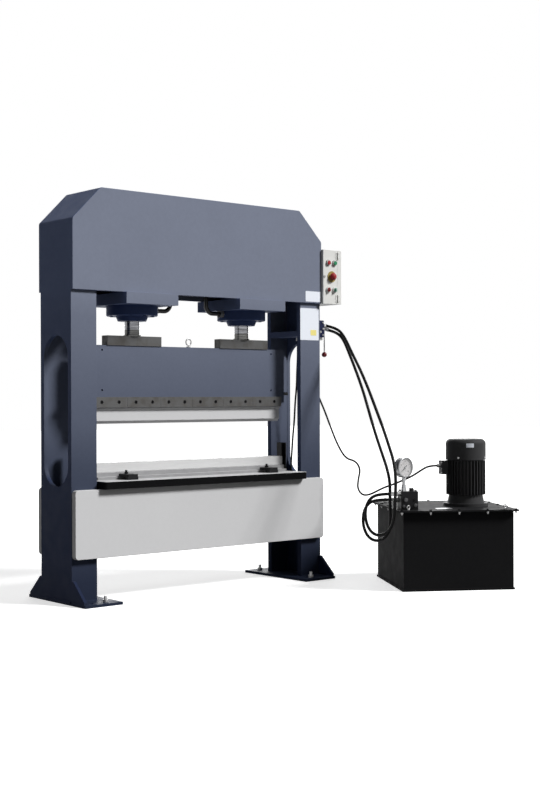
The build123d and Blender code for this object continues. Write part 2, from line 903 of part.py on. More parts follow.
with BuildPart() as estop_button:
    head_back = door_front - stop_ring_height - 9
    head_front = door_front - stop_head_proud
    stem_end = door_front + door_depth + 4
    dome_edge = head_back - 6
    dome_height = dome_edge - head_front
    dome_radius = (stop_head_radius**2 + dome_height**2) / (2 * dome_height)
    dome_turn = asin(stop_head_radius / dome_radius) / 2
    with BuildSketch(Plane.XY):
        with BuildLine():
            Polyline(
                (0, stem_end),
                (button_stem, stem_end),
                (button_stem, door_front + 1),
                (stop_neck_radius, door_front + 1),
                (stop_neck_radius, head_back),
                (stop_head_radius, head_back),
                (stop_head_radius, dome_edge),
            )
            ThreePointArc(
                (stop_head_radius, dome_edge),
                (dome_radius * sin(dome_turn), head_front + dome_radius * (1 - cos(dome_turn))),
                (0, head_front),
            )
            Line((0, head_front), (0, stem_end))
        make_face()
    revolve(axis=Axis.Y)
    estop_button.part.locate(Location((stop_x, 0, stop_row)))
save(estop_button, "estop_button")

# Control gear on the back wall of the box
with BuildPart() as control_gear:
    gear_middle_x = box_left + box_width / 2
    gear_middle_z = box_bottom + box_height / 2
    with BuildSketch(Plane.XZ.offset(-gear_back)):
        with Locations((gear_middle_x, gear_middle_z)):
            Rectangle(box_width - 4 * box_wall - 8, box_height - 30)
    extrude(amount=gear_plate)
    with BuildSketch(Plane.XZ.offset(-gear_back + gear_plate)):
        with Locations((gear_middle_x, gear_middle_z + 60)):
            with GridLocations(46, 1, 2, 1):
                Rectangle(44, 74)
        with Locations((gear_middle_x, gear_middle_z - 20)):
            Rectangle(90, 36)
        with Locations((gear_middle_x, gear_middle_z - 90)):
            Rectangle(96, 20)
    extrude(amount=60)
save(control_gear, "control_gear")

# Valve on the outer side of the right column
with BuildPart() as valve_body:
    with BuildSketch(Plane.XY.offset(valve_bottom)):
        with Locations(((valve_left + valve_right) / 2, valve_middle_y)):
            RectangleRounded(valve_width, valve_depth, 4)
    extrude(amount=valve_height)
    chamfer(valve_body.faces().sort_by(Axis.Z)[-1].edges(), 3)
    with BuildSketch(Plane.YZ.offset(valve_right)):
        with Locations((lever_y, lever_height)):
            Circle(lever_hub_radius - 3)
    extrude(amount=-10, mode=Mode.SUBTRACT)
save(valve_body, "valve_body")

# Lever: a hub on the valve, a straight rod down from it and a ball
with BuildPart() as valve_lever:
    hub_start = valve_right + seat_clearance
    hub_middle = hub_start + lever_hub_reach / 2
    with BuildSketch(Plane.YZ.offset(hub_start)):
        with Locations((lever_y, lever_height)):
            Circle(lever_hub_radius)
    extrude(amount=lever_hub_reach)
    with BuildSketch(Plane.YZ.offset(hub_start)):
        with Locations((lever_y, lever_height)):
            Circle(lever_hub_radius - 3 - running_clearance)
    extrude(amount=-10)
    with BuildSketch(Plane.XY.offset(lever_height)):
        with Locations((hub_middle, lever_y)):
            Circle(lever_radius)
    extrude(amount=-lever_length)
    with Locations((hub_middle, lever_y, lever_height - lever_length - lever_knob_radius + 2)):
        Sphere(lever_knob_radius)
save(valve_lever, "valve_lever")

# Tank: an open box with an inner rim for the screws and a narrow skirt
with BuildPart() as tank:
    with BuildSketch(unit_plane.offset(tank_skirt)):
        with Locations((tank_width / 2, tank_length / 2)):
            Rectangle(tank_width, tank_length)
    extrude(amount=tank_height - tank_skirt)
    with BuildSketch(unit_plane.offset(tank_skirt + tank_wall)):
        with Locations((tank_width / 2, tank_length / 2)):
            Rectangle(tank_width - 2 * tank_rim, tank_length - 2 * tank_rim)
    extrude(amount=tank_height, mode=Mode.SUBTRACT)
    with BuildSketch(unit_plane.offset(tank_skirt + tank_wall)):
        with Locations((tank_width / 2, tank_length / 2)):
            Rectangle(tank_width - 2 * tank_wall, tank_length - 2 * tank_wall)
    extrude(amount=tank_height - tank_skirt - 3 * tank_wall, mode=Mode.SUBTRACT)
    with BuildSketch(unit_plane):
        with Locations((tank_width / 2, tank_length / 2)):
            Rectangle(tank_width + 2 * tank_skirt_reach, tank_length + 2 * tank_skirt_reach)
            Rectangle(tank_width - 80, tank_length - 80, mode=Mode.SUBTRACT)
    extrude(amount=tank_skirt)
save(tank, "tank")

# Lid: a plate that overhangs the tank, with a row of hexagon screws near each edge
lid_length = tank_length + 2 * lid_overhang
lid_width = tank_width + 2 * lid_overhang
lid_middle = (tank_width / 2, tank_length / 2)
screw_steps = [i / (lid_screws_across - 1) for i in range(lid_screws_across)]
screw_us = [(tank_width + 2 * lid_screw_inset) * step - lid_screw_inset for step in screw_steps]
screw_vs = [(tank_length + 2 * lid_screw_inset) * step - lid_screw_inset for step in screw_steps]
screw_spots = [(u, v) for u in screw_us for v in (screw_vs[0], screw_vs[-1])]
screw_spots += [(u, v) for u in (screw_us[0], screw_us[-1]) for v in screw_vs[1:-1]]
with BuildPart() as tank_lid:
    with BuildSketch(unit_plane.offset(lid_bottom)):
        with Locations(lid_middle):
            RectangleRounded(lid_width, lid_length, 8)
        with Locations((motor_u, motor_v)):
            Circle(motor_shaft_radius + 14, mode=Mode.SUBTRACT)
    extrude(amount=lid_thickness)
    with BuildSketch(unit_plane.offset(lid_top)):
        with Locations(*screw_spots):
            RegularPolygon(lid_screw_head, 6)
    extrude(amount=lid_screw_head_height)
save(tank_lid, "tank_lid")

# Lifting eyes: small rings near the corners of the lid
eye_inset = 34.0
eye_us = (eye_inset, tank_width - eye_inset)
eye_vs = (eye_inset, tank_length - eye_inset)
eye_spots = [(u, v) for u in eye_us for v in eye_vs]
with BuildPart() as lifting_eyes:
    with BuildSketch(unit_plane.offset(lid_top)):
        with Locations(*eye_spots):
            Circle(lift_eye_wire + 4)
    extrude(amount=4)
    eye_middle = lid_top + 3 + lift_eye_radius + lift_eye_wire / 2
    with BuildPart(mode=Mode.PRIVATE) as eye_torus:
        Torus(lift_eye_radius, lift_eye_wire)
    for u, v in eye_spots:
        spot = unit_point(u, v, eye_middle)
        add(Location((spot.X, spot.Y, spot.Z), (90, 0, unit_turn)) * eye_torus.part)
save(lifting_eyes, "lifting_eyes")

# Motor: a footed neck, a finned body and end walls that carry the shaft
motor_axis_spot = unit_point(motor_u, motor_v, 0)
motor_plane = Plane(
    origin=(motor_axis_spot.X, motor_axis_spot.Y, 0),
    x_dir=unit_plane.x_dir,
    z_dir=(0, 0, 1),
)
with BuildPart() as motor_body:
    with BuildSketch(motor_plane.offset(motor_bottom)):
        Circle(motor_flange_radius)
        with PolarLocations(motor_flange_radius - 11, 4, start_angle=45):
            Circle(5.5, mode=Mode.SUBTRACT)
    extrude(amount=motor_flange_height)
    with BuildSketch(motor_plane.offset(motor_bottom + motor_flange_height)):
        Circle(motor_neck_radius)
    with BuildSketch(motor_plane.offset(motor_body_bottom)):
        Circle(motor_core_radius)
    loft()
    with BuildSketch(motor_plane.offset(motor_body_bottom)):
        Circle(motor_core_radius)
    extrude(amount=motor_body_height)
    with BuildSketch(motor_plane.offset(motor_body_bottom + 4)):
        with PolarLocations(motor_core_radius + 5, motor_fin_count):
            Rectangle(2 * (motor_fin_radius - motor_core_radius - 5), motor_fin_thickness)
        Circle(motor_fin_radius, mode=Mode.INTERSECT)
    extrude(amount=motor_body_height - 8)
    with BuildSketch(motor_plane.offset(motor_bottom)):
        Circle(motor_shaft_radius + running_clearance)
    extrude(amount=motor_foot_height + motor_body_height, mode=Mode.SUBTRACT)
    with BuildSketch(motor_plane.offset(motor_body_bottom)):
        Circle(motor_bore_radius)
    extrude(amount=motor_body_height - motor_end_wall, mode=Mode.SUBTRACT)
save(motor_body, "motor_body")

# Rotor: the shaft with its core, the cooling fan above and the pump drive below
pump_top = lid_bottom
shaft_bottom = pump_top - pump_flange_height - 30
shaft_top = motor_body_top + cowl_height / 2
with BuildPart() as motor_rotor:
    with BuildSketch(motor_plane.offset(shaft_bottom)):
        Circle(motor_shaft_radius)
    extrude(amount=shaft_top - shaft_bottom)
    with BuildSketch(motor_plane.offset(motor_body_bottom + 20)):
        Circle(motor_rotor_radius)
    extrude(amount=motor_body_height - motor_end_wall - 40)
    fan_bottom = shaft_top - fan_height - 4
    with BuildSketch(motor_plane.offset(fan_bottom)):
        Circle(fan_radius * 0.45)
    extrude(amount=fan_height)
    with BuildSketch(motor_plane.offset(fan_bottom)):
        with PolarLocations(fan_radius * 0.66, fan_blades):
            Rectangle(fan_radius * 0.68, 4)
    extrude(amount=fan_height)
save(motor_rotor, "motor_rotor")

# Cowl: a thin cap with air slots in its top
with BuildPart() as motor_cowl:
    cowl_bottom = motor_body_top
    cowl_seat_radius = motor_core_radius - 6
    cowl_top = cowl_bottom + cowl_height
    with BuildSketch(Plane.XZ):
        with BuildLine():
            outer_corner = (cowl_top_radius, cowl_top)
            Polyline(
                (cowl_seat_radius, cowl_bottom),
                (cowl_radius, cowl_bottom),
                (cowl_radius, cowl_top - cowl_shoulder),
            )
            RadiusArc((cowl_radius, cowl_top - cowl_shoulder), outer_corner, -cowl_shoulder)
            Polyline(
                outer_corner,
                (0, cowl_top),
                (0, cowl_top - cowl_wall),
                (cowl_top_radius - 1, cowl_top - cowl_wall),
            )
            inner_side = cowl_radius - cowl_wall
            RadiusArc(
                (cowl_top_radius - 1, cowl_top - cowl_wall),
                (inner_side, cowl_top - cowl_shoulder),
                cowl_shoulder,
            )
            Polyline(
                (inner_side, cowl_top - cowl_shoulder),
                (inner_side, cowl_bottom + cowl_wall),
                (cowl_seat_radius, cowl_bottom + cowl_wall),
                (cowl_seat_radius, cowl_bottom),
            )
        make_face()
    revolve(axis=Axis.Z)
    with BuildSketch(Plane.XY.offset(cowl_top)):
        with PolarLocations(cowl_top_radius * 0.62, cowl_slot_count):
            SlotOverall(cowl_top_radius * 0.55, 5)
    extrude(amount=-cowl_wall * 2, mode=Mode.SUBTRACT)
    motor_cowl.part.locate(Location((motor_axis_spot.X, motor_axis_spot.Y, 0), (0, 0, unit_turn)))
save(motor_cowl, "motor_cowl")

# Terminal box on the left side of the motor
terminal_u = -motor_fin_radius - terminal_depth / 2
terminal_bottom = motor_body_bottom + terminal_rise
with BuildPart() as terminal_box:
    with BuildSketch(motor_plane.offset(terminal_bottom)):
        with Locations((terminal_u, 0)):
            Rectangle(terminal_depth, terminal_size)
    extrude(amount=terminal_size)
    chamfer(terminal_box.edges().filter_by(Axis.Z), 3)
save(terminal_box, "terminal_box")

# Pump under the lid, driven by the end of the motor shaft
with BuildPart() as pump:
    with BuildSketch(motor_plane.offset(pump_top - pump_flange_height)):
        Circle(pump_flange_radius)
    extrude(amount=pump_flange_height)
    with BuildSketch(motor_plane.offset(pump_top - pump_length)):
        Circle(pump_radius)
    extrude(amount=pump_length)
    with BuildSketch(motor_plane.offset(pump_top)):
        Circle(motor_shaft_radius + running_clearance)
    extrude(amount=shaft_bottom - pump_top - 2, mode=Mode.SUBTRACT)
    with BuildSketch(motor_plane.offset(pump_top - pump_length)):
        with Locations((0, 0)):
            Circle(14)
    extrude(amount=-110)
save(pump, "pump")

# Manifold: a block with a relief knob, a gauge port and hose ports
manifold_mid_u = manifold_u + manifold_width / 2
manifold_mid_v = manifold_v + manifold_depth / 2
with BuildPart() as manifold:
    with BuildSketch(unit_plane.offset(lid_top)):
        with Locations((manifold_mid_u, manifold_mid_v)):
            Rectangle(manifold_width, manifold_depth)
    extrude(amount=manifold_height)
    chamfer(manifold.edges(), 2)
    front = Plane(
        origin=unit_point(manifold_mid_u, manifold_v, lid_top + manifold_height * 0.55),
        x_dir=unit_plane.x_dir,
        z_dir=-unit_plane.y_dir,
    )
    with BuildSketch(front):
        with Locations((-22, 0)):
            Circle(11)
    extrude(amount=9)
    with BuildSketch(front):
        with Locations((20, -6)):
            Circle(8)
    extrude(amount=-6, mode=Mode.SUBTRACT)
save(manifold, "manifold")

relief_spot = unit_point(manifold_u + manifold_width * 0.7, manifold_mid_v, 0)
with BuildPart() as relief_knob:
    with BuildSketch(Plane.XY.offset(manifold_top + seat_clearance)):
        with Locations((relief_spot.X, relief_spot.Y)):
            Circle(relief_radius)
    extrude(amount=relief_height)
    chamfer(relief_knob.faces().sort_by(Axis.Z)[-1].edges(), 2)
save(relief_knob, "relief_knob")

# Pressure gauge that faces the front, on a stem from the manifold
gauge_front = gauge_y - gauge_depth / 2
with BuildPart() as gauge_case:
    with BuildSketch(Plane.XZ.offset(-gauge_front)):
        with Locations((gauge_x, gauge_height)):
            Circle(gauge_radius)
    extrude(amount=-gauge_depth)
    fillet(gauge_case.faces().sort_by(Axis.Y)[0].edges(), 4)
    with BuildSketch(Plane.XZ.offset(-gauge_front)):
        with Locations((gauge_x, gauge_height)):
            Circle(gauge_radius - 5)
    extrude(amount=-gauge_face_setback, mode=Mode.SUBTRACT)
    with BuildSketch(Plane.XY.offset(manifold_top)):
        with Locations((gauge_x, gauge_y)):
            Circle(stem_radius)
    extrude(amount=gauge_height - gauge_radius + 6 - manifold_top)
    with BuildSketch(Plane.XY.offset(manifold_top)):
        with Locations((gauge_x, gauge_y)):
            RegularPolygon(stem_radius + 3, 6)
    extrude(amount=14)
    with BuildSketch(Plane.XZ.offset(-gauge_front - gauge_face_setback)):
        with Locations((gauge_x, gauge_height)):
            Circle(3)
    extrude(amount=4.5)
save(gauge_case, "gauge_case")

with BuildPart() as gauge_lens:
    with BuildSketch(Plane.XZ.offset(-gauge_front - 1)):
        with Locations((gauge_x, gauge_height)):
            Circle(gauge_radius - 5)
    extrude(amount=-lens_thickness)
save(gauge_lens, "gauge_lens")

# Pointer: a thin needle around the centre pin, turned to the low end of the dial
with BuildPart() as gauge_pointer:
    pointer_plane = Plane.XZ.offset(-gauge_front - gauge_face_setback + 2)
    with BuildSketch(pointer_plane):
        with Locations((gauge_x, gauge_height)):
            Circle(6)
            with BuildLine(mode=Mode.PRIVATE) as needle:
                Polyline((-3, 0), (0, gauge_radius - 14), (3, 0), (2, -14), (-2, -14), close=True)
            add(make_face(needle.edges(), mode=Mode.PRIVATE), rotation=132)
            Circle(3 + running_clearance, mode=Mode.SUBTRACT)
    extrude(amount=1.5)
save(gauge_pointer, "gauge_pointer")

# Pipe between the two cylinders: out of each flange, up into the head and across
with BuildPart() as cylinder_pipe:
    port_x = cylinder_x - flange_radius
    with BuildLine():
        FilletPolyline(
            (-port_x, 0, pipe_height),
            (-pipe_offset_x, 0, pipe_height),
            (-pipe_offset_x, 0, pipe_top),
            (pipe_offset_x, 0, pipe_top),
            (pipe_offset_x, 0, pipe_height),
            (port_x, 0, pipe_height),
            radius=pipe_bend,
        )
    with BuildSketch(Plane.YZ.offset(-port_x)):
        with Locations((0, pipe_height)):
            Circle(pipe_diameter / 2)
    sweep()
    for plane, way in ((Plane.YZ.offset(-port_x), 1), (Plane.YZ.offset(port_x), -1)):
        with BuildSketch(plane):
            with Locations((0, pipe_height)):
                RegularPolygon(pipe_nut_across / 2, 6, major_radius=False)
        extrude(amount=way * pipe_nut_length)
save(cylinder_pipe, "cylinder_pipe")

# Hoses and cables: the points that each one follows
hose_right_route = [
    (879, -95, 1367),
    (907, -143, 1359),
    (917, -203, 1338),
    (882, -303, 1224),
    (839, -407, 1109),
    (805, -499, 1010),
    (774, -582, 911),
    (744, -663, 815),
    (719, -731, 722),
    (700, -782, 649),
    (691, -805, 565),
    (684, -807, 465),
    (701, -778, 356),
    (693, -744, 307),
    (679, -688, 288),
    (666, -632, 307),
    (657, -597, 356),
    (657, -597, 416),
    (666, -632, 465),
    (679, -688, 484),
    (717, -749, 484),
]
hose_left_route = [
    (879, -111, 1343),
    (905, -156, 1326),
    (911, -203, 1286),
    (899, -254, 1222),
    (875, -332, 1121),
    (846, -411, 1013),
    (821, -483, 897),
    (795, -554, 788),
    (770, -623, 695),
    (746, -690, 608),
    (734, -722, 535),
    (730, -724, 446),
    (731, -728, 324),
    (724, -695, 273),
    (710, -639, 254),
    (697, -583, 273),
    (688, -548, 322),
    (688, -548, 382),
    (697, -583, 431),
    (710, -639, 450),
    (749, -700, 450),
]
motor_cable_route = [
    (820, -28, 1467),
    (822, -27, 1400),
    (819, -29, 1290),
    (823, -31, 1170),
    (821, -38, 1065),
    (831, -92, 958),
    (841, -122, 892),
    (852, -157, 803),
    (866, -199, 706),
    (879, -245, 641),
    (903, -296, 629),
    (916, -320, 586),
    (915, -303, 527),
    (905, -308, 479),
    (902, -350, 445),
    (910, -406, 454),
    (937, -465, 489),
    (958, -519, 509),
    (971, -594, 538),
    (979, -648, 561),
    (990, -694, 590),
    (1016.38, -725.74, 615),
    (1054.38, -749.85, 615),
]
column_cable_route = [
    (754, 6, 1286),
    (756, 7, 1200),
    (754, 12, 1120),
    (757, 18, 1040),
    (755, 30, 940),
    (757, 38, 850),
    (754, 48, 760),
    (756, 58, 680),
    (754, 64, 610),
    (755, 65, 546),
]


def tube(route, diameter, name):
    spots = [Vector(*spot) for spot in route]
    radii = []
    for before, bend, after in zip(spots, spots[1:], spots[2:]):
        half_turn = radians((bend - before).get_angle(after - bend)) / 2
        shorter = min((bend - before).length, (after - bend).length)
        radii.append(0.45 * shorter / tan(half_turn))
    print(name, "smallest bend radius", round(min(radii), 1))
    with BuildPart() as part:
        with BuildLine() as path:
            FilletPolyline(*spots, radius=radii)
        with BuildSketch(Plane(origin=spots[0], z_dir=spots[1] - spots[0])):
            Circle(diameter / 2)
        sweep()
    print(name, "length", round(sum(edge.length for edge in path.edges()), 1))
    save(part, name)


tube(hose_right_route, hose_diameter, "hose_right")
tube(hose_left_route, hose_diameter, "hose_left")
tube(motor_cable_route, cable_diameter, "motor_cable")
tube(column_cable_route, cable_diameter, "column_cable")


# Fittings: elbows at the four hose ends and glands at the cable ends
def bar(start, end, across, sides):
    with BuildPart() as part:
        with BuildSketch(Plane(origin=start, z_dir=end - start)):
            if sides:
                RegularPolygon(across / 2, sides, major_radius=False)
            else:
                Circle(across / 2)
        extrude(amount=(end - start).length)
    return part.part


hose_ends = [(hose_right_route, 0), (hose_left_route, 0), (hose_right_route, -1), (hose_left_route, -1)]
with BuildPart() as hose_fittings:
    for route, end in hose_ends:
        tip = Vector(*route[end])
        near = Vector(*route[1 if end == 0 else -2])
        joint = tip + (tip - near).normalized() * ferrule_length
        if end == 0:
            port = Vector(valve_right, joint.Y, joint.Z)
        else:
            gap = (joint - unit_point(manifold_u, 0, 0)).dot(unit_plane.x_dir)
            port = joint - unit_plane.x_dir * gap
        add(bar(port, joint, nipple_across, 6))
        with Locations(joint):
            Sphere(elbow_radius)
        add(bar(tip, joint, 2 * ferrule_radius, 0))
    box_gland = Vector(*motor_cable_route[0])
    add(bar(box_gland, Vector(box_gland.X, box_gland.Y, box_bottom), gland_nut_across, 6))
    upper_gland = Vector(*column_cable_route[0])
    rib_under = Vector(upper_gland.X, upper_gland.Y, upper_rib_height)
    add(bar(upper_gland, rib_under, gland_nut_across, 6))
    lower_gland = Vector(*column_cable_route[-1])
    rib_top = Vector(lower_gland.X, lower_gland.Y, lower_rib_height + rib_thickness)
    add(bar(lower_gland, rib_top, gland_nut_across, 6))
    motor_gland = Vector(*motor_cable_route[-1])
    box_side = motor_plane.from_local_coords(Vector(terminal_u - terminal_depth / 2, 0, motor_gland.Z))
    add(bar(motor_gland, box_side, gland_nut_across, 6))
save(hose_fittings, "hose_fittings")
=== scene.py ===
# Looks of the hydraulic press: camera, hoses, materials, small details and light, in metres.
import json
import math
import random

import bmesh
import bpy
from mathutils import Matrix, Vector


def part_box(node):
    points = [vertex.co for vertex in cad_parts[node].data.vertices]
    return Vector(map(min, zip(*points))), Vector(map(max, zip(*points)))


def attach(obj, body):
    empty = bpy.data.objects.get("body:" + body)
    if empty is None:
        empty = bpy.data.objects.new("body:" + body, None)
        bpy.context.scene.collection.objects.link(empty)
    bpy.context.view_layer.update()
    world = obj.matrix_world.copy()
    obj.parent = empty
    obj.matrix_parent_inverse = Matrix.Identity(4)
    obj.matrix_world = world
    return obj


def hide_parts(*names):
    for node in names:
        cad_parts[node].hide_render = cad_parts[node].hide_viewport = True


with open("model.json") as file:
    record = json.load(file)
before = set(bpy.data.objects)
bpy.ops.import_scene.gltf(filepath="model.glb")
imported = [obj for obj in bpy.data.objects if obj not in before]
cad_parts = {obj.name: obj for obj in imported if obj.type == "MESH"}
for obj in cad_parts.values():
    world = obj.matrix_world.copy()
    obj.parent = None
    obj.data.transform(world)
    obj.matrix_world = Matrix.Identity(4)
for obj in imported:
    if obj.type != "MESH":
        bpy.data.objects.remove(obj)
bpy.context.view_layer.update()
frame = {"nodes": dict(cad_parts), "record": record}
nodes = frame["nodes"]
random.seed(4)

# Camera: the place and the angles that the photograph was taken from
PHOTO_LONG_SIDE = 800
FOCAL_PIXELS = 1325.7
SENSOR = 36.0
CAMERA_SPOT = (-4.08997, -5.46203, 0.96723)
CAMERA_YAW = 0.704
CAMERA_PITCH = 0.001
CAMERA_ROLL = 0.003


def make_camera():
    sight = Vector((
        math.sin(CAMERA_YAW) * math.cos(CAMERA_PITCH),
        math.cos(CAMERA_YAW) * math.cos(CAMERA_PITCH),
        -math.sin(CAMERA_PITCH),
    ))
    level = Vector((math.cos(CAMERA_YAW), -math.sin(CAMERA_YAW), 0))
    above = level.cross(sight)
    across = level * math.cos(CAMERA_ROLL) - above * math.sin(CAMERA_ROLL)
    upward = level * math.sin(CAMERA_ROLL) + above * math.cos(CAMERA_ROLL)
    lens = bpy.data.cameras.new("photo_camera")
    lens.sensor_fit = "AUTO"
    lens.sensor_width = SENSOR
    lens.lens = FOCAL_PIXELS / PHOTO_LONG_SIDE * SENSOR
    camera = bpy.data.objects.new("photo_camera", lens)
    bpy.context.scene.collection.objects.link(camera)
    turn = Matrix((across, upward, -sight)).transposed().to_4x4()
    camera.matrix_world = Matrix.Translation(CAMERA_SPOT) @ turn
    bpy.context.scene.camera = camera


make_camera()


# Colours are written as they show on a screen, from 0 to 255
def linear(value):
    value = value / 255
    return value / 12.92 if value <= 0.04045 else ((value + 0.055) / 1.055) ** 2.4


def shade(red, green, blue):
    return (linear(red), linear(green), linear(blue), 1.0)


class Finish:
    """One material: a principled shader and the steps that the materials share."""

    def __init__(self, name, roughness=0.5, specular=0.2, metallic=0.0):
        self.material = bpy.data.materials.new(name)
        self.material.use_nodes = True
        self.tree = self.material.node_tree
        self.shader = self.tree.nodes["Principled BSDF"]
        self.shader.inputs["Roughness"].default_value = roughness
        self.shader.inputs["Specular IOR Level"].default_value = specular
        self.shader.inputs["Metallic"].default_value = metallic
        self.place = self.tree.nodes.new("ShaderNodeTexCoord").outputs["Object"]

    def link(self, source, socket):
        self.tree.links.new(source, socket)

    def stretch(self, x, y, z):
        mapping = self.tree.nodes.new("ShaderNodeMapping")
        mapping.inputs["Scale"].default_value = (x, y, z)
        self.link(self.place, mapping.inputs["Vector"])
        return mapping.outputs["Vector"]

    def noise(self, scale, detail=3.0, stretch=None):
        node = self.tree.nodes.new("ShaderNodeTexNoise")
        node.inputs["Scale"].default_value = scale
        node.inputs["Detail"].default_value = detail
        self.link(self.stretch(*stretch) if stretch else self.place, node.inputs["Vector"])
        return node.outputs["Fac"]

    def count(self, operation, first, second=None, third=None):
        node = self.tree.nodes.new("ShaderNodeMath")
        node.operation = operation
        for socket, value in zip(node.inputs, (first, second, third)):
            if value is None:
                continue
            if isinstance(value, (int, float)):
                socket.default_value = value
            else:
                self.link(value, socket)
        return node.outputs["Value"]

    def spread(self, source, low, high, start=0.0, end=1.0):
        node = self.tree.nodes.new("ShaderNodeMapRange")
        node.inputs["From Min"].default_value = low
        node.inputs["From Max"].default_value = high
        node.inputs["To Min"].default_value = start
        node.inputs["To Max"].default_value = end
        self.link(source, node.inputs["Value"])
        return node.outputs["Result"]

    def ramp(self, source, stops):
        node = self.tree.nodes.new("ShaderNodeValToRGB")
        points = node.color_ramp.elements
        while len(points) < len(stops):
            points.new(0.5)
        for point, (position, colour) in zip(points, stops):
            point.position = position
            point.color = colour
        self.link(source, node.inputs["Fac"])
        return node.outputs["Color"]

    def mix(self, factor, first, second, blend="MIX"):
        node = self.tree.nodes.new("ShaderNodeMix")
        node.data_type = "RGBA"
        node.blend_type = blend
        colours = [s for s in node.inputs if s.type == "RGBA"]
        factors = [s for s in node.inputs if s.name == "Factor" and s.type == "VALUE"]
        for socket, value in ((factors[0], factor), (colours[0], first), (colours[1], second)):
            if isinstance(value, (int, float, tuple)):
                socket.default_value = value
            else:
                self.link(value, socket)
        return [s for s in node.outputs if s.type == "RGBA"][0]

    def axis(self, name):
        node = self.tree.nodes.new("ShaderNodeSeparateXYZ")
        self.link(self.place, node.inputs["Vector"])
        return node.outputs[name]

    def facing(self, name):
        geometry = self.tree.nodes.new("ShaderNodeNewGeometry")
        node = self.tree.nodes.new("ShaderNodeSeparateXYZ")
        self.link(geometry.outputs["Normal"], node.inputs["Vector"])
        return node.outputs[name]

    def edges(self, radius, low=0.02, high=0.25):
        """1 close to an edge and 0 on the flat."""
        rounded = self.tree.nodes.new("ShaderNodeBevel")
        rounded.samples = 4
        rounded.inputs["Radius"].default_value = radius
        geometry = self.tree.nodes.new("ShaderNodeNewGeometry")
        node = self.tree.nodes.new("ShaderNodeVectorMath")
        node.operation = "DOT_PRODUCT"
        self.link(rounded.outputs["Normal"], node.inputs[0])
        self.link(geometry.outputs["Normal"], node.inputs[1])
        away = self.count("SUBTRACT", 1.0, node.outputs["Value"])
        return self.spread(away, low, high)

    def bump(self, height, strength, distance):
        node = self.tree.nodes.new("ShaderNodeBump")
        node.inputs["Strength"].default_value = strength
        node.inputs["Distance"].default_value = distance
        self.link(height, node.inputs["Height"])
        self.link(node.outputs["Normal"], self.shader.inputs["Normal"])

    def colour(self, source):
        self.link(source, self.shader.inputs["Base Color"])

    def rough(self, source):
        self.link(source, self.shader.inputs["Roughness"])


# Scales of the surface patterns, the depths of their relief, and the widths of painted dark edges and
# worn edges
CLOUD_SCALE = 3.0
MOTTLE_SCALE = 55.0
SHEEN_SCALE = 18.0
PEEL_SCALE = 420.0
PEEL_DEPTH = 0.0004
OIL_SCALE = 7.0
GRAIN_SCALE = 14.0
GRAIN_DEPTH = 0.0003
SCALE_PATCHES = 22.0
SCALE_GRAINS = 180.0
SCALE_DEPTH = 0.0005
MOULD_SCALE = 900.0
MOULD_DEPTH = 0.0002
RUBBER_GRAINS = 700.0
PAINT_EDGE = 0.0025
STEEL_EDGE = 0.0015
PAINTED_EDGE_REACH = 0.005
EDGE_WEAR = 0.7


def scaled(colour, share):
    return tuple(min(1.0, c * share) for c in colour[:3]) + (1,)


# Enamel and powder coat: faint clouds in the colour, orange peel, paler along the edges
def enamel(name, colour, roughness=0.5, specular=0.15, peel=0.12, edge=1.25, clouds=0.06):
    made = Finish(name, roughness, specular)
    broad = made.count("MULTIPLY", made.noise(CLOUD_SCALE, 4.0), 0.6)
    tint = made.ramp(made.count("MULTIPLY_ADD", made.noise(MOTTLE_SCALE, 2.0), 0.4, broad), [
        (0.3, (1 - clouds, 1 - clouds, 1 - clouds, 1)),
        (0.7, (1 + clouds, 1 + clouds, 1 + clouds, 1)),
    ])
    base = made.mix(1.0, colour if isinstance(colour, tuple) else colour(made), tint, "MULTIPLY")
    worn = made.mix(1.0, base, (edge, edge, edge * 0.99, 1), "MULTIPLY")
    made.colour(made.mix(made.count("MULTIPLY", made.edges(PAINT_EDGE), EDGE_WEAR), base, worn))
    sheen = made.noise(SHEEN_SCALE, 3.0)
    made.rough(made.spread(sheen, 0.3, 0.7, roughness - 0.06, roughness + 0.06))
    made.bump(made.noise(PEEL_SCALE, 2.0), peel, PEEL_DEPTH)
    return made.material


# The frame's blue-grey enamel with painted shade: darker lower down for the light's falloff, and a
# deeper blue on its sides and undersides for the shade on them
FRAME_HEIGHT = 2.0
FRAME_PAINTED_FALLOFF = [
    (0.10, shade(35, 41, 57)),
    (0.21, shade(44, 50, 66)),
    (0.45, shade(50, 56, 72)),
    (0.66, shade(64, 70, 86)),
    (0.86, shade(81, 87, 103)),
    (1.10, shade(92, 98, 114)),
    (1.35, shade(104, 110, 126)),
    (1.50, shade(117, 123, 139)),
]
SIDE_PAINTED_SHADE = (0.64, 0.74, 1.0, 1)


def frame_colour(made):
    height = made.spread(made.axis("Z"), 0.0, FRAME_HEIGHT)
    # Painted shade of the light's falloff: the colour darkens towards the bottom of the frame
    front = made.ramp(height, [(z / FRAME_HEIGHT, colour) for z, colour in FRAME_PAINTED_FALLOFF])
    # Painted shade: faces that face neither front, back nor up get a darker, bluer copy of the colour
    side = made.mix(1.0, front, SIDE_PAINTED_SHADE, "MULTIPLY")
    level = made.count("MAXIMUM", made.count("ABSOLUTE", made.facing("Y")), made.facing("Z"))
    return made.mix(made.spread(level, 0.7, 0.95), side, front)


# Turned and plated steel: fine lines along one way, with clouds of oil
def steel(name, colour, roughness, lines=(2.0, 60.0, 60.0), metallic=0.85, specular=0.4):
    made = Finish(name, roughness, specular, metallic)
    grain = made.noise(GRAIN_SCALE, 5.0, lines)
    cloud = made.noise(OIL_SCALE, 4.0)
    dark = scaled(colour, 0.72)
    light = scaled(colour, 1.12)
    base = made.ramp(grain, [(0.3, dark), (0.55, colour), (0.8, light)])
    base = made.mix(made.spread(cloud, 0.35, 0.7, 0.0, 0.35), base, dark)
    made.colour(made.mix(made.edges(STEEL_EDGE), base, light))
    made.rough(made.spread(cloud, 0.3, 0.7, roughness - 0.08, roughness + 0.08))
    made.bump(grain, 0.25, GRAIN_DEPTH)
    return made.material


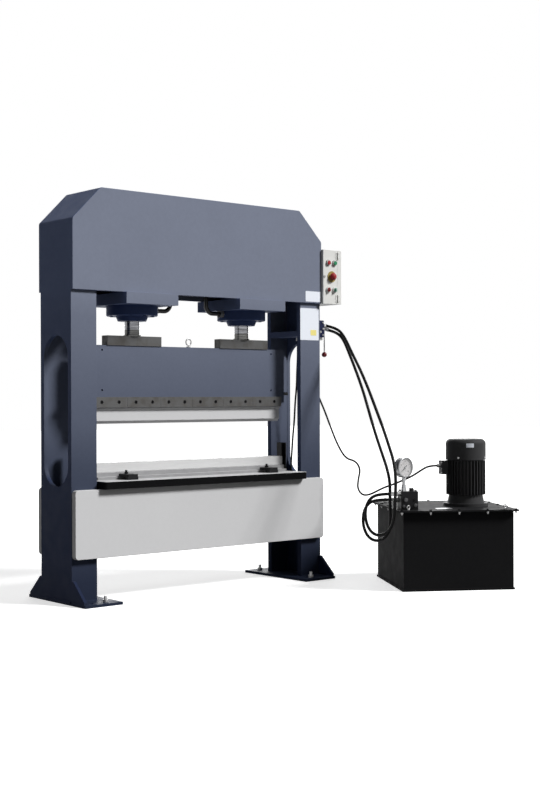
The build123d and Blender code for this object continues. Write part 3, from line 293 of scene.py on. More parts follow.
# Hot-rolled and burnt-edge steel: brown-grey patches of scale
def scale_steel(name, colour, rust):
    made = Finish(name, 0.6, 0.25, 0.35)
    patches = made.spread(made.noise(SCALE_PATCHES, 6.0), 0.42, 0.66)
    base = made.mix(patches, colour, rust)
    made.colour(made.mix(made.edges(STEEL_EDGE), base, scaled(colour, 1.6)))
    made.rough(made.spread(patches, 0, 1, 0.5, 0.7))
    made.bump(made.noise(SCALE_GRAINS, 5.0), 0.25, SCALE_DEPTH)
    return made.material


# Moulded plastic: a little deeper in places, with the mould's fine grain
def plastic(name, colour, roughness, specular=0.35):
    made = Finish(name, roughness, specular)
    depth = made.spread(made.noise(60.0, 2.0), 0.35, 0.65)
    made.colour(made.mix(depth, scaled(colour, 0.8), colour))
    made.bump(made.noise(MOULD_SCALE, 2.0), 0.05, MOULD_DEPTH)
    return made.material


# Hose and cable rubber: dull, with a trace of dust
def rubber(name, colour, roughness):
    made = Finish(name, roughness, 0.10)
    dusty = tuple(c + 0.004 for c in colour[:3]) + (1,)
    made.colour(made.mix(made.spread(made.noise(30.0, 4.0), 0.4, 0.7), colour, dusty))
    made.bump(made.noise(RUBBER_GRAINS, 3.0), 0.12, GRAIN_DEPTH)
    return made.material


# Chromed rod: colour darkened as a painted reflection of a dark studio, with rings of dark and light up
# its length
def chrome(name, dark, light):
    made = Finish(name, 0.2, 0.5, 1.0)
    rings = made.noise(10.0, 3.0, (1.0, 1.0, 40.0))
    made.colour(made.ramp(rings, [(0.35, dark), (0.65, light)]))
    made.rough(made.spread(rings, 0.3, 0.7, 0.12, 0.3))
    return made.material


# Ground steel: even grey with fine lines along X, and a painted dark reflection along its edges, for
# chamfers that would mirror dark surroundings
def ground_steel(name, colour, painted_edge_shade):
    made = Finish(name, 0.5, 0.1, 0.1)
    grain = made.noise(GRAIN_SCALE, 5.0, (1.5, 60.0, 60.0))
    base = made.ramp(grain, [(0.3, scaled(colour, 0.86)), (0.7, colour)])
    made.colour(made.mix(made.edges(PAINTED_EDGE_REACH, 0.03, 0.3), base, painted_edge_shade))
    made.rough(made.spread(made.noise(9.0, 3.0), 0.3, 0.7, 0.42, 0.58))
    made.bump(grain, 0.15, GRAIN_DEPTH)
    return made.material


# Two colours on one piece: the second is where choose gives 1
def two_finish(name, choose, first, second, specular=0.3):
    made = Finish(name, 0.35, specular)
    cloud = made.spread(made.noise(50.0, 3.0), 0.35, 0.65, 0.85, 1.05)
    base = made.mix(choose(made), first, second)
    made.colour(made.mix(1.0, base, cloud, "MULTIPLY"))
    made.bump(made.noise(300.0, 2.0), 0.08, MOULD_DEPTH)
    return made.material


# Gauge glass: nearly clear, so that the dial behind it is lit
def glass(name):
    made = Finish(name, 0.05, 0.3)
    made.shader.inputs["Alpha"].default_value = 0.12
    cloud = made.noise(40.0, 2.0)
    made.colour(made.ramp(cloud, [(0.2, (0.94, 0.96, 0.96, 1)), (0.8, (1, 1, 1, 1))]))
    return made.material


# Steel of one pair of shades on top, and of another on its sides: on the table the black sides are its
# finish, on the die base the darker sides are painted shade
def topped_steel(name, top_low, top_high, side_low, side_high):
    made = Finish(name, 0.55, 0.03)
    grain = made.noise(12.0, 5.0, (1.5, 50.0, 50.0))
    top = made.ramp(grain, [(0.3, top_low), (0.7, top_high)])
    side = made.mix(made.noise(25.0, 4.0), side_low, side_high)
    made.colour(made.mix(made.spread(made.facing("Z"), 0.4, 0.6), side, top))
    made.bump(grain, 0.15, GRAIN_DEPTH)
    return made.material


finishes = {
    "frame_paint": enamel("frame_paint", frame_colour, 0.55, 0.04, edge=1.3, clouds=0.05),
    "bed_paint": enamel("bed_paint", shade(197, 197, 198), 0.5, 0.12, edge=1.06, clouds=0.02),
    "raw_steel": scale_steel("raw_steel", shade(80, 80, 80), shade(72, 70, 68)),
    "bright_steel": ground_steel("bright_steel", shade(203, 203, 203), shade(88, 88, 90)),
    "hard_chrome": chrome("hard_chrome", shade(80, 80, 84), shade(165, 166, 170)),
    "black_steel": steel("black_steel", shade(24, 24, 26), 0.5, metallic=0.0, specular=0.12),
    "black_paint": enamel("black_paint", shade(32, 32, 33), 0.6, 0.01, edge=1.8, clouds=0.1),
    "box_paint": enamel("box_paint", shade(216, 216, 213), 0.5, 0.12, edge=1.03, clouds=0.015),
    "red_plastic": plastic("red_plastic", shade(158, 44, 50), 0.45, 0.15),
    "green_plastic": plastic("green_plastic", shade(46, 132, 92), 0.45, 0.15),
    "yellow_plastic": plastic("yellow_plastic", shade(164, 144, 84), 0.5, 0.12),
    "black_plastic": plastic("black_plastic", shade(26, 26, 28), 0.45),
    "valve_paint": enamel("valve_paint", shade(20, 27, 58), 0.4, 0.15, edge=1.8),
    "zinc_steel": steel("zinc_steel", shade(168, 168, 168), 0.35, (20.0, 20.0, 20.0), 0.7),
    "dark_red_plastic": plastic("dark_red_plastic", shade(120, 16, 20), 0.25),
    "stainless": steel("stainless", shade(160, 161, 163), 0.35, (30.0, 30.0, 4.0), 0.85),
    "clear_glass": glass("clear_glass"),
    "hose_rubber": rubber("hose_rubber", shade(14, 14, 15), 0.45),
    "cable_rubber": rubber("cable_rubber", shade(10, 10, 11), 0.6),
}


def dress(name, finish):
    slots = nodes[name].data.materials
    slots.clear()
    slots.append(finish)


for part in frame["record"]["subparts"]:
    dress(part["node"], finishes[part["material_slot"]])

# Nodes whose colour in the photograph isn't their slot's
dress("table", topped_steel(
    "table_steel", shade(160, 160, 161), shade(205, 205, 206), shade(7, 7, 8), shade(12, 12, 13),
))
# Painted shade: the die base's sides are darker than its top, for the shade under the die
dress("die_base", topped_steel(
    "base_steel_shaded_sides", shade(184, 184, 185), shade(205, 205, 206), shade(132, 132, 133), shade(156, 156, 157),
))
dress("stop_posts", finishes["black_steel"])
dress("rod_ends", chrome("rod_end_steel", shade(58, 58, 58), shade(112, 112, 110)))
dress("selector_left", plastic("selector_red", shade(156, 66, 66), 0.45, 0.15))
dress("selector_right", plastic("selector_green", shade(120, 164, 148), 0.45, 0.15))
# Painted shade: the cylinders, glands and flange screws sit in the head's shadow, so their paint is the
# frame colour darkened to a deeper navy
cylinder_shaded_paint = enamel("cylinder_shaded_paint", shade(62, 76, 114), 0.5, 0.04, edge=1.3, clouds=0.05)
for name in ("cylinder_left", "cylinder_right", "glands"):
    dress(name, cylinder_shaded_paint)
motor_finish = enamel("motor_paint", shade(55, 55, 56), 0.55, 0.06, edge=1.5, clouds=0.08)
for name in ("motor_body", "motor_cowl", "terminal_box"):
    dress(name, motor_finish)

# The lever is steel above its red ball, and the pipe's nuts are steel
LEVER_BALL_TOP = 1.2222
PIPE_NUT_START = 0.1985


def above_ball(made):
    return made.count("GREATER_THAN", made.axis("Z"), LEVER_BALL_TOP)


def on_nuts(made):
    reach = made.count("ABSOLUTE", made.axis("X"))
    return made.count("GREATER_THAN", reach, PIPE_NUT_START)


dress("valve_lever", two_finish("lever", above_ball, shade(118, 20, 26), shade(176, 176, 176)))
dress("cylinder_pipe", two_finish("pipe", on_nuts, shade(14, 14, 16), shade(150, 150, 150), 0.2))

# Hoses and cables: the same routes as the CAD tubes, from the press to the power unit
HOSE_RIGHT = [
    (0.879, -0.095, 1.367), (0.903, -0.143, 1.355), (0.903, -0.203, 1.316),
    (0.874, -0.303, 1.208), (0.839, -0.407, 1.109), (0.805, -0.499, 1.010),
    (0.774, -0.582, 0.911), (0.744, -0.663, 0.815), (0.719, -0.731, 0.722),
    (0.700, -0.782, 0.649), (0.691, -0.805, 0.565), (0.684, -0.807, 0.465),
    (0.701, -0.778, 0.340), (0.693, -0.744, 0.288), (0.679, -0.692, 0.268),
    (0.666, -0.645, 0.290), (0.660, -0.618, 0.345), (0.660, -0.618, 0.410),
    (0.668, -0.645, 0.460), (0.681, -0.695, 0.482), (0.717, -0.749, 0.484),
]
HOSE_LEFT = [
    (0.879, -0.111, 1.343), (0.902, -0.156, 1.329), (0.904, -0.203, 1.288),
    (0.892, -0.254, 1.222), (0.870, -0.332, 1.121), (0.846, -0.411, 1.013),
    (0.821, -0.483, 0.897), (0.795, -0.554, 0.788), (0.770, -0.623, 0.695),
    (0.746, -0.690, 0.608), (0.734, -0.722, 0.535), (0.730, -0.724, 0.446),
    (0.731, -0.728, 0.308), (0.724, -0.695, 0.255), (0.710, -0.643, 0.235),
    (0.698, -0.595, 0.256), (0.691, -0.569, 0.310), (0.691, -0.569, 0.374),
    (0.698, -0.595, 0.427), (0.711, -0.645, 0.449), (0.749, -0.700, 0.450),
]
MOTOR_CABLE = [
    (0.820, -0.028, 1.467), (0.822, -0.027, 1.400), (0.819, -0.029, 1.290),
    (0.823, -0.031, 1.170), (0.821, -0.038, 1.065), (0.831, -0.092, 0.958),
    (0.841, -0.122, 0.892), (0.852, -0.157, 0.803), (0.866, -0.199, 0.706),
    (0.879, -0.245, 0.641), (0.903, -0.296, 0.629), (0.916, -0.320, 0.586),
    (0.915, -0.303, 0.527), (0.905, -0.308, 0.479), (0.902, -0.350, 0.445),
    (0.910, -0.406, 0.454), (0.937, -0.465, 0.489), (0.958, -0.519, 0.509),
    (0.971, -0.594, 0.538), (0.979, -0.648, 0.561), (0.990, -0.694, 0.590),
    (1.01638, -0.72574, 0.615), (1.05438, -0.74985, 0.615),
]
COLUMN_CABLE = [
    (0.754, 0.006, 1.286), (0.756, 0.007, 1.200), (0.754, 0.012, 1.120),
    (0.757, 0.018, 1.040), (0.755, 0.030, 0.940), (0.757, 0.038, 0.850),
    (0.754, 0.048, 0.760), (0.756, 0.058, 0.680), (0.754, 0.064, 0.610),
    (0.755, 0.065, 0.546),
]
HOSE_DIAMETER = 0.0157
CABLE_DIAMETER = 0.010


def run_cord(name, route, diameter, slot):
    line = bpy.data.curves.new(name + "_line", "CURVE")
    line.dimensions = "3D"
    line.bevel_depth = diameter / 2
    line.bevel_resolution = 5
    line.resolution_u = 10
    spline = line.splines.new("NURBS")
    spline.points.add(len(route) - 1)
    for point, spot in zip(spline.points, route):
        point.co = (*spot, 1.0)
    spline.order_u = 3
    spline.use_endpoint_u = True
    cord = bpy.data.objects.new(name + "_line", line)
    bpy.context.scene.collection.objects.link(cord)
    line.materials.append(finishes[slot])
    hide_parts(name)
    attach(cord, "frame")


run_cord("hose_right", HOSE_RIGHT, HOSE_DIAMETER, "hose_rubber")
run_cord("hose_left", HOSE_LEFT, HOSE_DIAMETER, "hose_rubber")
run_cord("motor_cable", MOTOR_CABLE, CABLE_DIAMETER, "cable_rubber")
run_cord("column_cable", COLUMN_CABLE, CABLE_DIAMETER, "cable_rubber")

SHARP_ANGLE = math.radians(35)
CORNER_STEPS = 4

# Weld bead: its ripples' spacing, then shares of its radius: at its ends, in its hollows, and what
# its crests and chance add
WELD_RIPPLE = 0.004
WELD_END = 0.3
WELD_HOLLOW = 0.88
WELD_CREST = 0.14
WELD_CHANCE = 0.08


# Small pieces are built in world coordinates, so that their patterns are to scale
def finish_piece(name, mesh, body, slot, finish=None, bevel=0.0, smooth=False):
    data = bpy.data.meshes.new(name)
    bmesh.ops.recalc_face_normals(mesh, faces=mesh.faces)
    mesh.to_mesh(data)
    mesh.free()
    piece = bpy.data.objects.new(name, data)
    bpy.context.scene.collection.objects.link(piece)
    data.materials.append(finish or finishes[slot])
    if bevel:
        rounding = piece.modifiers.new("rounding", "BEVEL")
        rounding.width = bevel
        rounding.segments = 2
        rounding.limit_method = "ANGLE"
    if smooth:
        for face in data.polygons:
            face.use_smooth = True
        data.set_sharp_from_angle(angle=SHARP_ANGLE)
    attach(piece, body)


def axes_along(direction):
    """Two directions square to this one."""
    direction = Vector(direction).normalized()
    side = Vector((0, 0, 1)) if abs(direction.z) < 0.9 else Vector((1, 0, 0))
    first = side.cross(direction).normalized()
    return first, direction.cross(first), direction


def add_turned(mesh, centre, direction, profile, steps=32):
    """A turned form: (distance along, radius) pairs about a line, with closed ends."""
    first, second, along = axes_along(direction)
    loops = []
    for reach, radius in profile:
        middle = Vector(centre) + along * reach
        ring = []
        for step in range(steps):
            angle = 2 * math.pi * step / steps
            out = first * math.cos(angle) + second * math.sin(angle)
            ring.append(mesh.verts.new(middle + radius * out))
        loops.append(ring)
    for lower, upper in zip(loops, loops[1:]):
        for step in range(steps):
            nxt = (step + 1) % steps
            mesh.faces.new((lower[step], lower[nxt], upper[nxt], upper[step]))
    mesh.faces.new(loops[0])
    mesh.faces.new(loops[-1])


def add_slab(mesh, centre, across, upward, width, height, depth, corner=0.0):
    """A plate with rounded corners that stands out by its depth from its centre."""
    across, upward = Vector(across).normalized(), Vector(upward).normalized()
    out = across.cross(upward)
    corners = ((1, 1), (-1, 1), (-1, -1), (1, -1))
    outline = []
    for index, (right, top) in enumerate(corners):
        middle = (right * (width / 2 - corner), top * (height / 2 - corner))
        for step in range(CORNER_STEPS + 1 if corner else 1):
            angle = math.pi / 2 * (index + (step / CORNER_STEPS if corner else 0.5))
            outline.append((middle[0] + corner * math.cos(angle), middle[1] + corner * math.sin(angle)))
    back = [mesh.verts.new(Vector(centre) + across * a + upward * b) for a, b in outline]
    front = [mesh.verts.new(v.co + out * depth) for v in back]
    mesh.faces.new(back[::-1])
    mesh.faces.new(front)
    for i in range(len(back)):
        j = (i + 1) % len(back)
        mesh.faces.new((back[i], back[j], front[j], front[i]))


def add_weld(mesh, start, end, normal, radius):
    """A fillet weld: a half-round bead with the ripples of its runs."""
    start, end, normal = Vector(start), Vector(end), Vector(normal).normalized()
    along = (end - start).normalized()
    side = along.cross(normal)
    length = (end - start).length
    count = max(6, int(length / WELD_RIPPLE))
    rows = []
    for i in range(count + 1):
        reach = length * i / count
        swell = radius * (WELD_HOLLOW + WELD_CREST * (i % 2) + WELD_CHANCE * random.random())
        if i in (0, count):
            swell = radius * WELD_END
        middle = start + along * reach
        rows.append([
            mesh.verts.new(middle + swell * (side * math.cos(a) + normal * math.sin(a)))
            for a in (math.pi * k / 6 for k in range(-1, 8))
        ])
    for first, second in zip(rows, rows[1:]):
        for k in range(len(first) - 1):
            mesh.faces.new((first[k], first[k + 1], second[k + 1], second[k]))
    mesh.faces.new(rows[0])
    mesh.faces.new(rows[-1][::-1])


FRONT = (0, -1, 0)
RIGHT = (1, 0, 0)
UP = (0, 0, 1)
DOWN = (0, 0, -1)

# Profiles of the turned pieces, as (distance along, radius) pairs
NAMEPLATE_PIN = [(0.0, 0.0016), (0.0012, 0.0016), (0.0018, 0.0009)]
COWL_SCREW = [(0, 0.0055), (0.001, 0.0060), (0.003, 0.0052), (0.004, 0.0030)]
TERMINAL_SCREW = [(0, 0.0038), (0.0018, 0.0036), (0.0026, 0.0022)]
LID_WASHER = [(0, 0.0075), (0.0015, 0.0075)]
LID_NUT = [(0.0015, 0.0060), (0.0068, 0.0060), (0.0075, 0.0052)]
LID_BOLT_END = [(0.0070, 0.0032), (0.0125, 0.0030), (0.0135, 0.0020)]
GAUGE_LOW_NUT = [
    (0, 0.0125), (0.020, 0.0125), (0.021, 0.0115), (0.030, 0.0115), (0.031, 0.0098), (0.034, 0.0085),
]
GAUGE_HIGH_NUT = [(0, 0.0088), (0.001, 0.0105), (0.013, 0.0105), (0.014, 0.0088)]
MANIFOLD_SCREW = [(0, 0.0060), (0.006, 0.0060), (0.0068, 0.0052)]
MANIFOLD_CAP = [(0, 0.0125), (0.004, 0.0125), (0.005, 0.0105), (0.013, 0.0105), (0.015, 0.0085)]
VALVE_SCREW = [(0, 0.0052), (0.004, 0.0052), (0.0048, 0.0044)]
VALVE_TOP_PLUG = [(0, 0.008), (0.005, 0.008), (0.006, 0.007)]
VALVE_FRONT_PLUG = [(0, 0.007), (0.003, 0.007), (0.004, 0.006)]
LOCK_RIM = [(0, 0.0068), (0.002, 0.0068), (0.0028, 0.0060), (0.0028, 0.0042), (0.0012, 0.0040)]
HINGE_SCREW = [(0, 0.0026), (0.0008, 0.0022)]
CONTROL_RING = [(0, 0.0160), (0.0016, 0.0160), (0.0022, 0.0152)]
FLANGE_SCREW = [(0, 0.0085), (0.0018, 0.0085), (0.0026, 0.0076), (0.0026, 0.0045), (0.0012, 0.0043)]

# Power unit: its own axes, turned on the floor
UNIT_SPOT = Vector((0.702, -0.846, 0))
UNIT_TURN = math.radians(-32.4)
UNIT_ACROSS = Vector((math.cos(UNIT_TURN), math.sin(UNIT_TURN), 0))
UNIT_BACK = Vector((-math.sin(UNIT_TURN), math.cos(UNIT_TURN), 0))


def unit_point(across, back, height):
    return UNIT_SPOT + UNIT_ACROSS * across + UNIT_BACK * back + Vector((0, 0, height))


# Bare plates: on the column, on the head, on the tank lid and on the motor
FILM_DEPTH = 0.0006
PATCH_DEPTH = 0.0004
METAL_DEPTH = 0.0008
PLATE_CORNER = 0.003
COLUMN_PLATE_CORNER = 0.004
LID_SCREW_HEAD = 0.005
COLUMN_PLATE_SIZE = (0.134, 0.172)
COLUMN_PATCH_SIZE = (0.042, 0.030)
HEAD_PLATE_SIZE = (0.110, 0.056)
LID_PLATE_SIZE = (0.080, 0.050)
FILM = {"roughness": 0.35, "specular": 0.1, "peel": 0.02, "edge": 1.0, "clouds": 0.01}
white_film = enamel("white_film", shade(232, 236, 244), **FILM)
yellow_film = enamel("yellow_film", shade(236, 222, 140), **FILM)
column_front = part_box("column_right")[0].y
head_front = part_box("head_front_plate")[0].y
patch_back = column_front - FILM_DEPTH
lid_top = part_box("tank_lid")[1].z - LID_SCREW_HEAD


def add_plate(name, middle, axes, size, depth, corner, slot, finish=None):
    mesh = bmesh.new()
    add_slab(mesh, middle, *axes, *size, depth, corner)
    finish_piece(name, mesh, "frame", slot, finish)


add_plate(
    "column_plate", (0.713, column_front, 1.369), (RIGHT, UP),
    COLUMN_PLATE_SIZE, FILM_DEPTH, COLUMN_PLATE_CORNER, "box_paint", white_film,
)
add_plate(
    "column_patch", (0.741, patch_back, 1.324), (RIGHT, UP),
    COLUMN_PATCH_SIZE, PATCH_DEPTH, PLATE_CORNER, "yellow_plastic", yellow_film,
)
add_plate(
    "head_plate", (0.727, head_front, 1.518), (RIGHT, UP),
    HEAD_PLATE_SIZE, FILM_DEPTH, PLATE_CORNER, "box_paint", white_film,
)
add_plate(
    "lid_plate", unit_point(0.235, 0.100, lid_top), (UNIT_ACROSS, UNIT_BACK),
    LID_PLATE_SIZE, METAL_DEPTH, PLATE_CORNER, "stainless",
)

# Bare nameplate, bent to the cowl's round side, with a pin at each end
MOTOR_ACROSS = 0.400
MOTOR_BACK = 0.270
MOTOR_AXIS = unit_point(MOTOR_ACROSS, MOTOR_BACK, 0)
COWL_RADIUS = 0.104
NAMEPLATE_TURN = math.radians(234)
NAMEPLATE_BOW = math.radians(22)
NAMEPLATE_LOW = 0.712
NAMEPLATE_HIGH = 0.733
NAMEPLATE_STEPS = 10
PIN_SHARE = 0.42


def way_round(angle):
    return Vector((math.cos(angle), math.sin(angle), 0))


def on_cowl(angle, height, out=0.0):
    return MOTOR_AXIS + way_round(angle) * (COWL_RADIUS + out) + Vector((0, 0, height))


mesh = bmesh.new()
section = (
    (0, NAMEPLATE_LOW), (METAL_DEPTH, NAMEPLATE_LOW),
    (METAL_DEPTH, NAMEPLATE_HIGH), (0, NAMEPLATE_HIGH),
)
columns = []
for step in range(NAMEPLATE_STEPS + 1):
    angle = NAMEPLATE_TURN + NAMEPLATE_BOW * (step / NAMEPLATE_STEPS - 0.5)
    columns.append([mesh.verts.new(on_cowl(angle, height, out)) for out, height in section])
for first, second in zip(columns, columns[1:]):
    for k in range(4):
        mesh.faces.new((first[k], first[(k + 1) % 4], second[(k + 1) % 4], second[k]))
mesh.faces.new(columns[0][::-1])
mesh.faces.new(columns[-1])
for turn in (-PIN_SHARE, PIN_SHARE):
    angle = NAMEPLATE_TURN + NAMEPLATE_BOW * turn
    spot = on_cowl(angle, (NAMEPLATE_LOW + NAMEPLATE_HIGH) / 2)
    add_turned(mesh, spot, way_round(angle), NAMEPLATE_PIN, 12)
finish_piece("motor_plate", mesh, "frame", "stainless", white_film)

# Cowl screws and the screws of the terminal box lid
COWL_SCREW_TURNS = (200, 290, 20, 110)
COWL_SCREW_HEIGHT = 0.658
TERMINAL_FACE = MOTOR_ACROSS - 0.136
TERMINAL_SCREW_SIDE = 0.027
TERMINAL_SCREW_INSET = 0.008
mesh = bmesh.new()
for turn in COWL_SCREW_TURNS:
    angle = math.radians(turn)
    add_turned(mesh, on_cowl(angle, COWL_SCREW_HEIGHT), way_round(angle), COWL_SCREW, 16)
terminal_low, terminal_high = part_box("terminal_box")
for side in (-TERMINAL_SCREW_SIDE, TERMINAL_SCREW_SIDE):
    for height in (terminal_low.z + TERMINAL_SCREW_INSET, terminal_high.z - TERMINAL_SCREW_INSET):
        spot = unit_point(TERMINAL_FACE, MOTOR_BACK + side, height)
        add_turned(mesh, spot, -UNIT_ACROSS, TERMINAL_SCREW, 16)
finish_piece("motor_screws", mesh, "frame", "zinc_steel", smooth=True)

# Nuts and bolt ends under the overhang of the lid, along its two near edges
LID_UNDER = 0.397
TANK_WIDTH = 0.570
TANK_LENGTH = 0.590
NUT_OUT = 0.010
NUT_GAPS = 4
mesh = bmesh.new()
for step in range(NUT_GAPS + 1):
    along = -NUT_OUT + (TANK_WIDTH + 2 * NUT_OUT) * step / NUT_GAPS
    spots = [unit_point(along, -NUT_OUT, LID_UNDER)]
    if step:
        along = -NUT_OUT + (TANK_LENGTH + 2 * NUT_OUT) * step / NUT_GAPS
        spots.append(unit_point(-NUT_OUT, along, LID_UNDER))
    for spot in spots:
        add_turned(mesh, spot, DOWN, LID_WASHER, 20)
        add_turned(mesh, spot, DOWN, LID_NUT, 6)
        add_turned(mesh, spot, DOWN, LID_BOLT_END, 12)
finish_piece("lid_nuts", mesh, "frame", "zinc_steel", smooth=True)

# Gauge: a pale dial with a scale and figures, and two hexagons on its stem
GAUGE_X = 0.763
GAUGE_Z = 0.618
GAUGE_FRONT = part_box("gauge_case")[0].y
DIAL_SETBACK = 0.009
DIAL_Y = GAUGE_FRONT + DIAL_SETBACK
DIAL_RADIUS = 0.0466
DIAL_DEPTH = 0.0004
DIAL_START = math.radians(222)
DIAL_SWEEP = math.radians(264)
DIAL_MARKS = 40
MARK_INSET = 0.004
MARK_DEPTH = 0.0002
LONG_MARK = (0.0010, 0.0065)
MIDDLE_MARK = (0.0005, 0.0045)
SHORT_MARK = (0.0005, 0.0028)
LONG_EVERY = 10
MIDDLE_EVERY = 5
MARK_WORTH = 10
FIGURE_SIZE = 0.0075
FIGURE_DEPTH = 0.0001
FIGURE_INSET = 0.0165
FIGURE_Y = DIAL_Y - 0.0006
STEM_Y = -0.790
STEM_LOW_NUT = 0.497
STEM_HIGH_NUT = 0.548
dial_face = plastic("dial_face", shade(196, 193, 193), 0.5, 0.05)
mesh = bmesh.new()
add_turned(mesh, (GAUGE_X, DIAL_Y, GAUGE_Z), FRONT, [(0, DIAL_RADIUS), (DIAL_DEPTH, DIAL_RADIUS)], 64)
finish_piece("gauge_dial", mesh, "frame", "stainless", dial_face)
mesh = bmesh.new()
for step in range(DIAL_MARKS + 1):
    angle = DIAL_START - DIAL_SWEEP * step / DIAL_MARKS
    way = Vector((math.cos(angle), 0, math.sin(angle)))
    width, length = SHORT_MARK
    if step % MIDDLE_EVERY == 0:
        width, length = MIDDLE_MARK
    if step % LONG_EVERY == 0:
        width, length = LONG_MARK
    reach = DIAL_RADIUS - MARK_INSET - length / 2
    middle = Vector((GAUGE_X, DIAL_Y - DIAL_DEPTH, GAUGE_Z)) + way * reach
    add_slab(mesh, middle, way.cross(Vector(FRONT)), way, width, length, MARK_DEPTH)
finish_piece("gauge_scale", mesh, "frame", "black_plastic")
for step in range(0, DIAL_MARKS + 1, LONG_EVERY):
    angle = DIAL_START - DIAL_SWEEP * step / DIAL_MARKS
    figure = bpy.data.curves.new(f"gauge_figure_{step}", "FONT")
    figure.body = str(step * MARK_WORTH)
    figure.size = FIGURE_SIZE
    figure.extrude = FIGURE_DEPTH
    figure.align_x = "CENTER"
    figure.align_y = "CENTER"
    figure.materials.append(finishes["black_plastic"])
    label = bpy.data.objects.new(f"gauge_figure_{step}", figure)
    bpy.context.scene.collection.objects.link(label)
    reach = DIAL_RADIUS - FIGURE_INSET
    label.location = (GAUGE_X + reach * math.cos(angle), FIGURE_Y, GAUGE_Z + reach * math.sin(angle))
    label.rotation_euler = (math.pi / 2, 0, 0)
    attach(label, "frame")
mesh = bmesh.new()
add_turned(mesh, (GAUGE_X, STEM_Y, STEM_LOW_NUT), UP, GAUGE_LOW_NUT, 6)
add_turned(mesh, (GAUGE_X, STEM_Y, STEM_HIGH_NUT), UP, GAUGE_HIGH_NUT, 6)
finish_piece("gauge_nuts", mesh, "frame", "stainless", smooth=True)

# Manifold: three hexagon plugs on its front, and four screws and a hexagon cap on its top
MANIFOLD_FOOT = 0.405
MANIFOLD_FRONT = 0.062
PORT_FRONT = 0.053

# Each plug's place across, back and above the foot, and its radius
MANIFOLD_PLUGS = (
    (0.026, PORT_FRONT, 0.0506, 0.0085),
    (0.078, MANIFOLD_FRONT, 0.022, 0.0070),
    (0.018, MANIFOLD_FRONT, 0.018, 0.0055),
)
MANIFOLD_SCREW_ACROSS = (0.014, 0.082)
MANIFOLD_SCREW_BACK = (0.076, 0.132)
MANIFOLD_CAP_SPOT = (0.062, 0.084)
manifold_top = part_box("manifold")[1].z
mesh = bmesh.new()
for across, back, height, radius in MANIFOLD_PLUGS:
    spot = unit_point(across, back, MANIFOLD_FOOT + height)
    seat = radius + 0.002
    add_turned(mesh, spot, -UNIT_BACK, [(0, seat), (0.0016, seat), (0.0018, radius)], 24)
    add_turned(mesh, spot, -UNIT_BACK, [(0.0018, radius), (0.007, radius), (0.008, radius - 0.001)], 6)
for back in MANIFOLD_SCREW_BACK:
    for across in MANIFOLD_SCREW_ACROSS:
        add_turned(mesh, unit_point(across, back, manifold_top), UP, MANIFOLD_SCREW, 20)
plug_steel = steel("plug_steel", shade(84, 84, 86), 0.4, metallic=0.3)
finish_piece("manifold_plugs", mesh, "frame", "black_steel", plug_steel, smooth=True)
mesh = bmesh.new()
add_turned(mesh, unit_point(*MANIFOLD_CAP_SPOT, manifold_top), UP, MANIFOLD_CAP, 6)
finish_piece("manifold_cap", mesh, "frame", "black_steel", smooth=True)

# Valve: a steel end block below it, screws on its front, and a pale plug on its front and its top
VALVE_X = 0.8165
VALVE_END_SIZE = (0.046, 0.017)
VALVE_END_DEPTH = 0.040
VALVE_SCREW_X = (0.799, 0.834)
VALVE_SCREW_INSET = 0.012
VALVE_SCREW_HIGH = 0.046
VALVE_PLUG_HIGH = 0.029
VALVE_PLUG_BACK = 0.028
valve_low, valve_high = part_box("valve_body")
mesh = bmesh.new()
middle = (VALVE_X, valve_low.y + 0.008, valve_low.z - VALVE_END_SIZE[1] / 2)
add_slab(mesh, middle, RIGHT, UP, *VALVE_END_SIZE, -VALVE_END_DEPTH, 0.002)
finish_piece("valve_end", mesh, "frame", "zinc_steel", bevel=0.0008)
mesh = bmesh.new()
screw_heights = (
    valve_low.z + VALVE_SCREW_INSET,
    valve_low.z + VALVE_SCREW_HIGH,
    valve_high.z - VALVE_SCREW_INSET,
)
for across in VALVE_SCREW_X:
    for height in screw_heights:
        add_turned(mesh, (across, valve_low.y, height), FRONT, VALVE_SCREW, 20)
add_turned(mesh, (VALVE_X, valve_low.y + VALVE_PLUG_BACK, valve_high.z), UP, VALVE_TOP_PLUG, 6)
add_turned(mesh, (VALVE_X, valve_low.y, valve_low.z + VALVE_PLUG_HIGH), FRONT, VALVE_FRONT_PLUG, 6)
finish_piece("valve_screws", mesh, "frame", "zinc_steel", smooth=True)

# Control door: a quarter-turn lock, and two screws in each hinge leaf
LOCK_X = 0.7965
LOCK_Z = 1.630
LOCK_FLOOR = 0.0012
LOCK_BAR_SIZE = (0.0012, 0.0066)
LOCK_BAR_DEPTH = 0.0016
HINGE_HEIGHTS = (1.513, 1.746)
HINGE_LIFT = 0.013
HINGE_LEAF = 0.0015
DOOR_LEAF_X = 0.8825
BOX_LEAF_X = 0.9025
door_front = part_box("estop_ring")[1].y
leaf_front = door_front - HINGE_LEAF
mesh = bmesh.new()
add_turned(mesh, (LOCK_X, door_front, LOCK_Z), FRONT, LOCK_RIM, 24)
add_slab(mesh, (LOCK_X, door_front - LOCK_FLOOR, LOCK_Z), RIGHT, UP, *LOCK_BAR_SIZE, LOCK_BAR_DEPTH)
finish_piece("door_lock", mesh, "door", "zinc_steel", smooth=True)
for name, body, across in (
    ("door_hinge_screws", "door", DOOR_LEAF_X),
    ("box_hinge_screws", "frame", BOX_LEAF_X),
):
    mesh = bmesh.new()
    for height in HINGE_HEIGHTS:
        for lift in (-HINGE_LIFT, HINGE_LIFT):
            add_turned(mesh, (across, leaf_front, height + lift), FRONT, HINGE_SCREW, 14)
    finish_piece(name, mesh, body, "zinc_steel")

# Dark rings round the buttons, pale ones round the selectors, and a pale mark on each selector
SELECTOR_MARK_LIFT = 0.0045
SELECTOR_MARK_SIZE = (0.0018, 0.008)
SELECTOR_MARK_DEPTH = 0.0003
SELECTOR_MARK_CORNER = 0.0006


def front_middle(node):
    low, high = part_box(node)
    return (low.x + high.x) / 2, low.y, (low.z + high.z) / 2


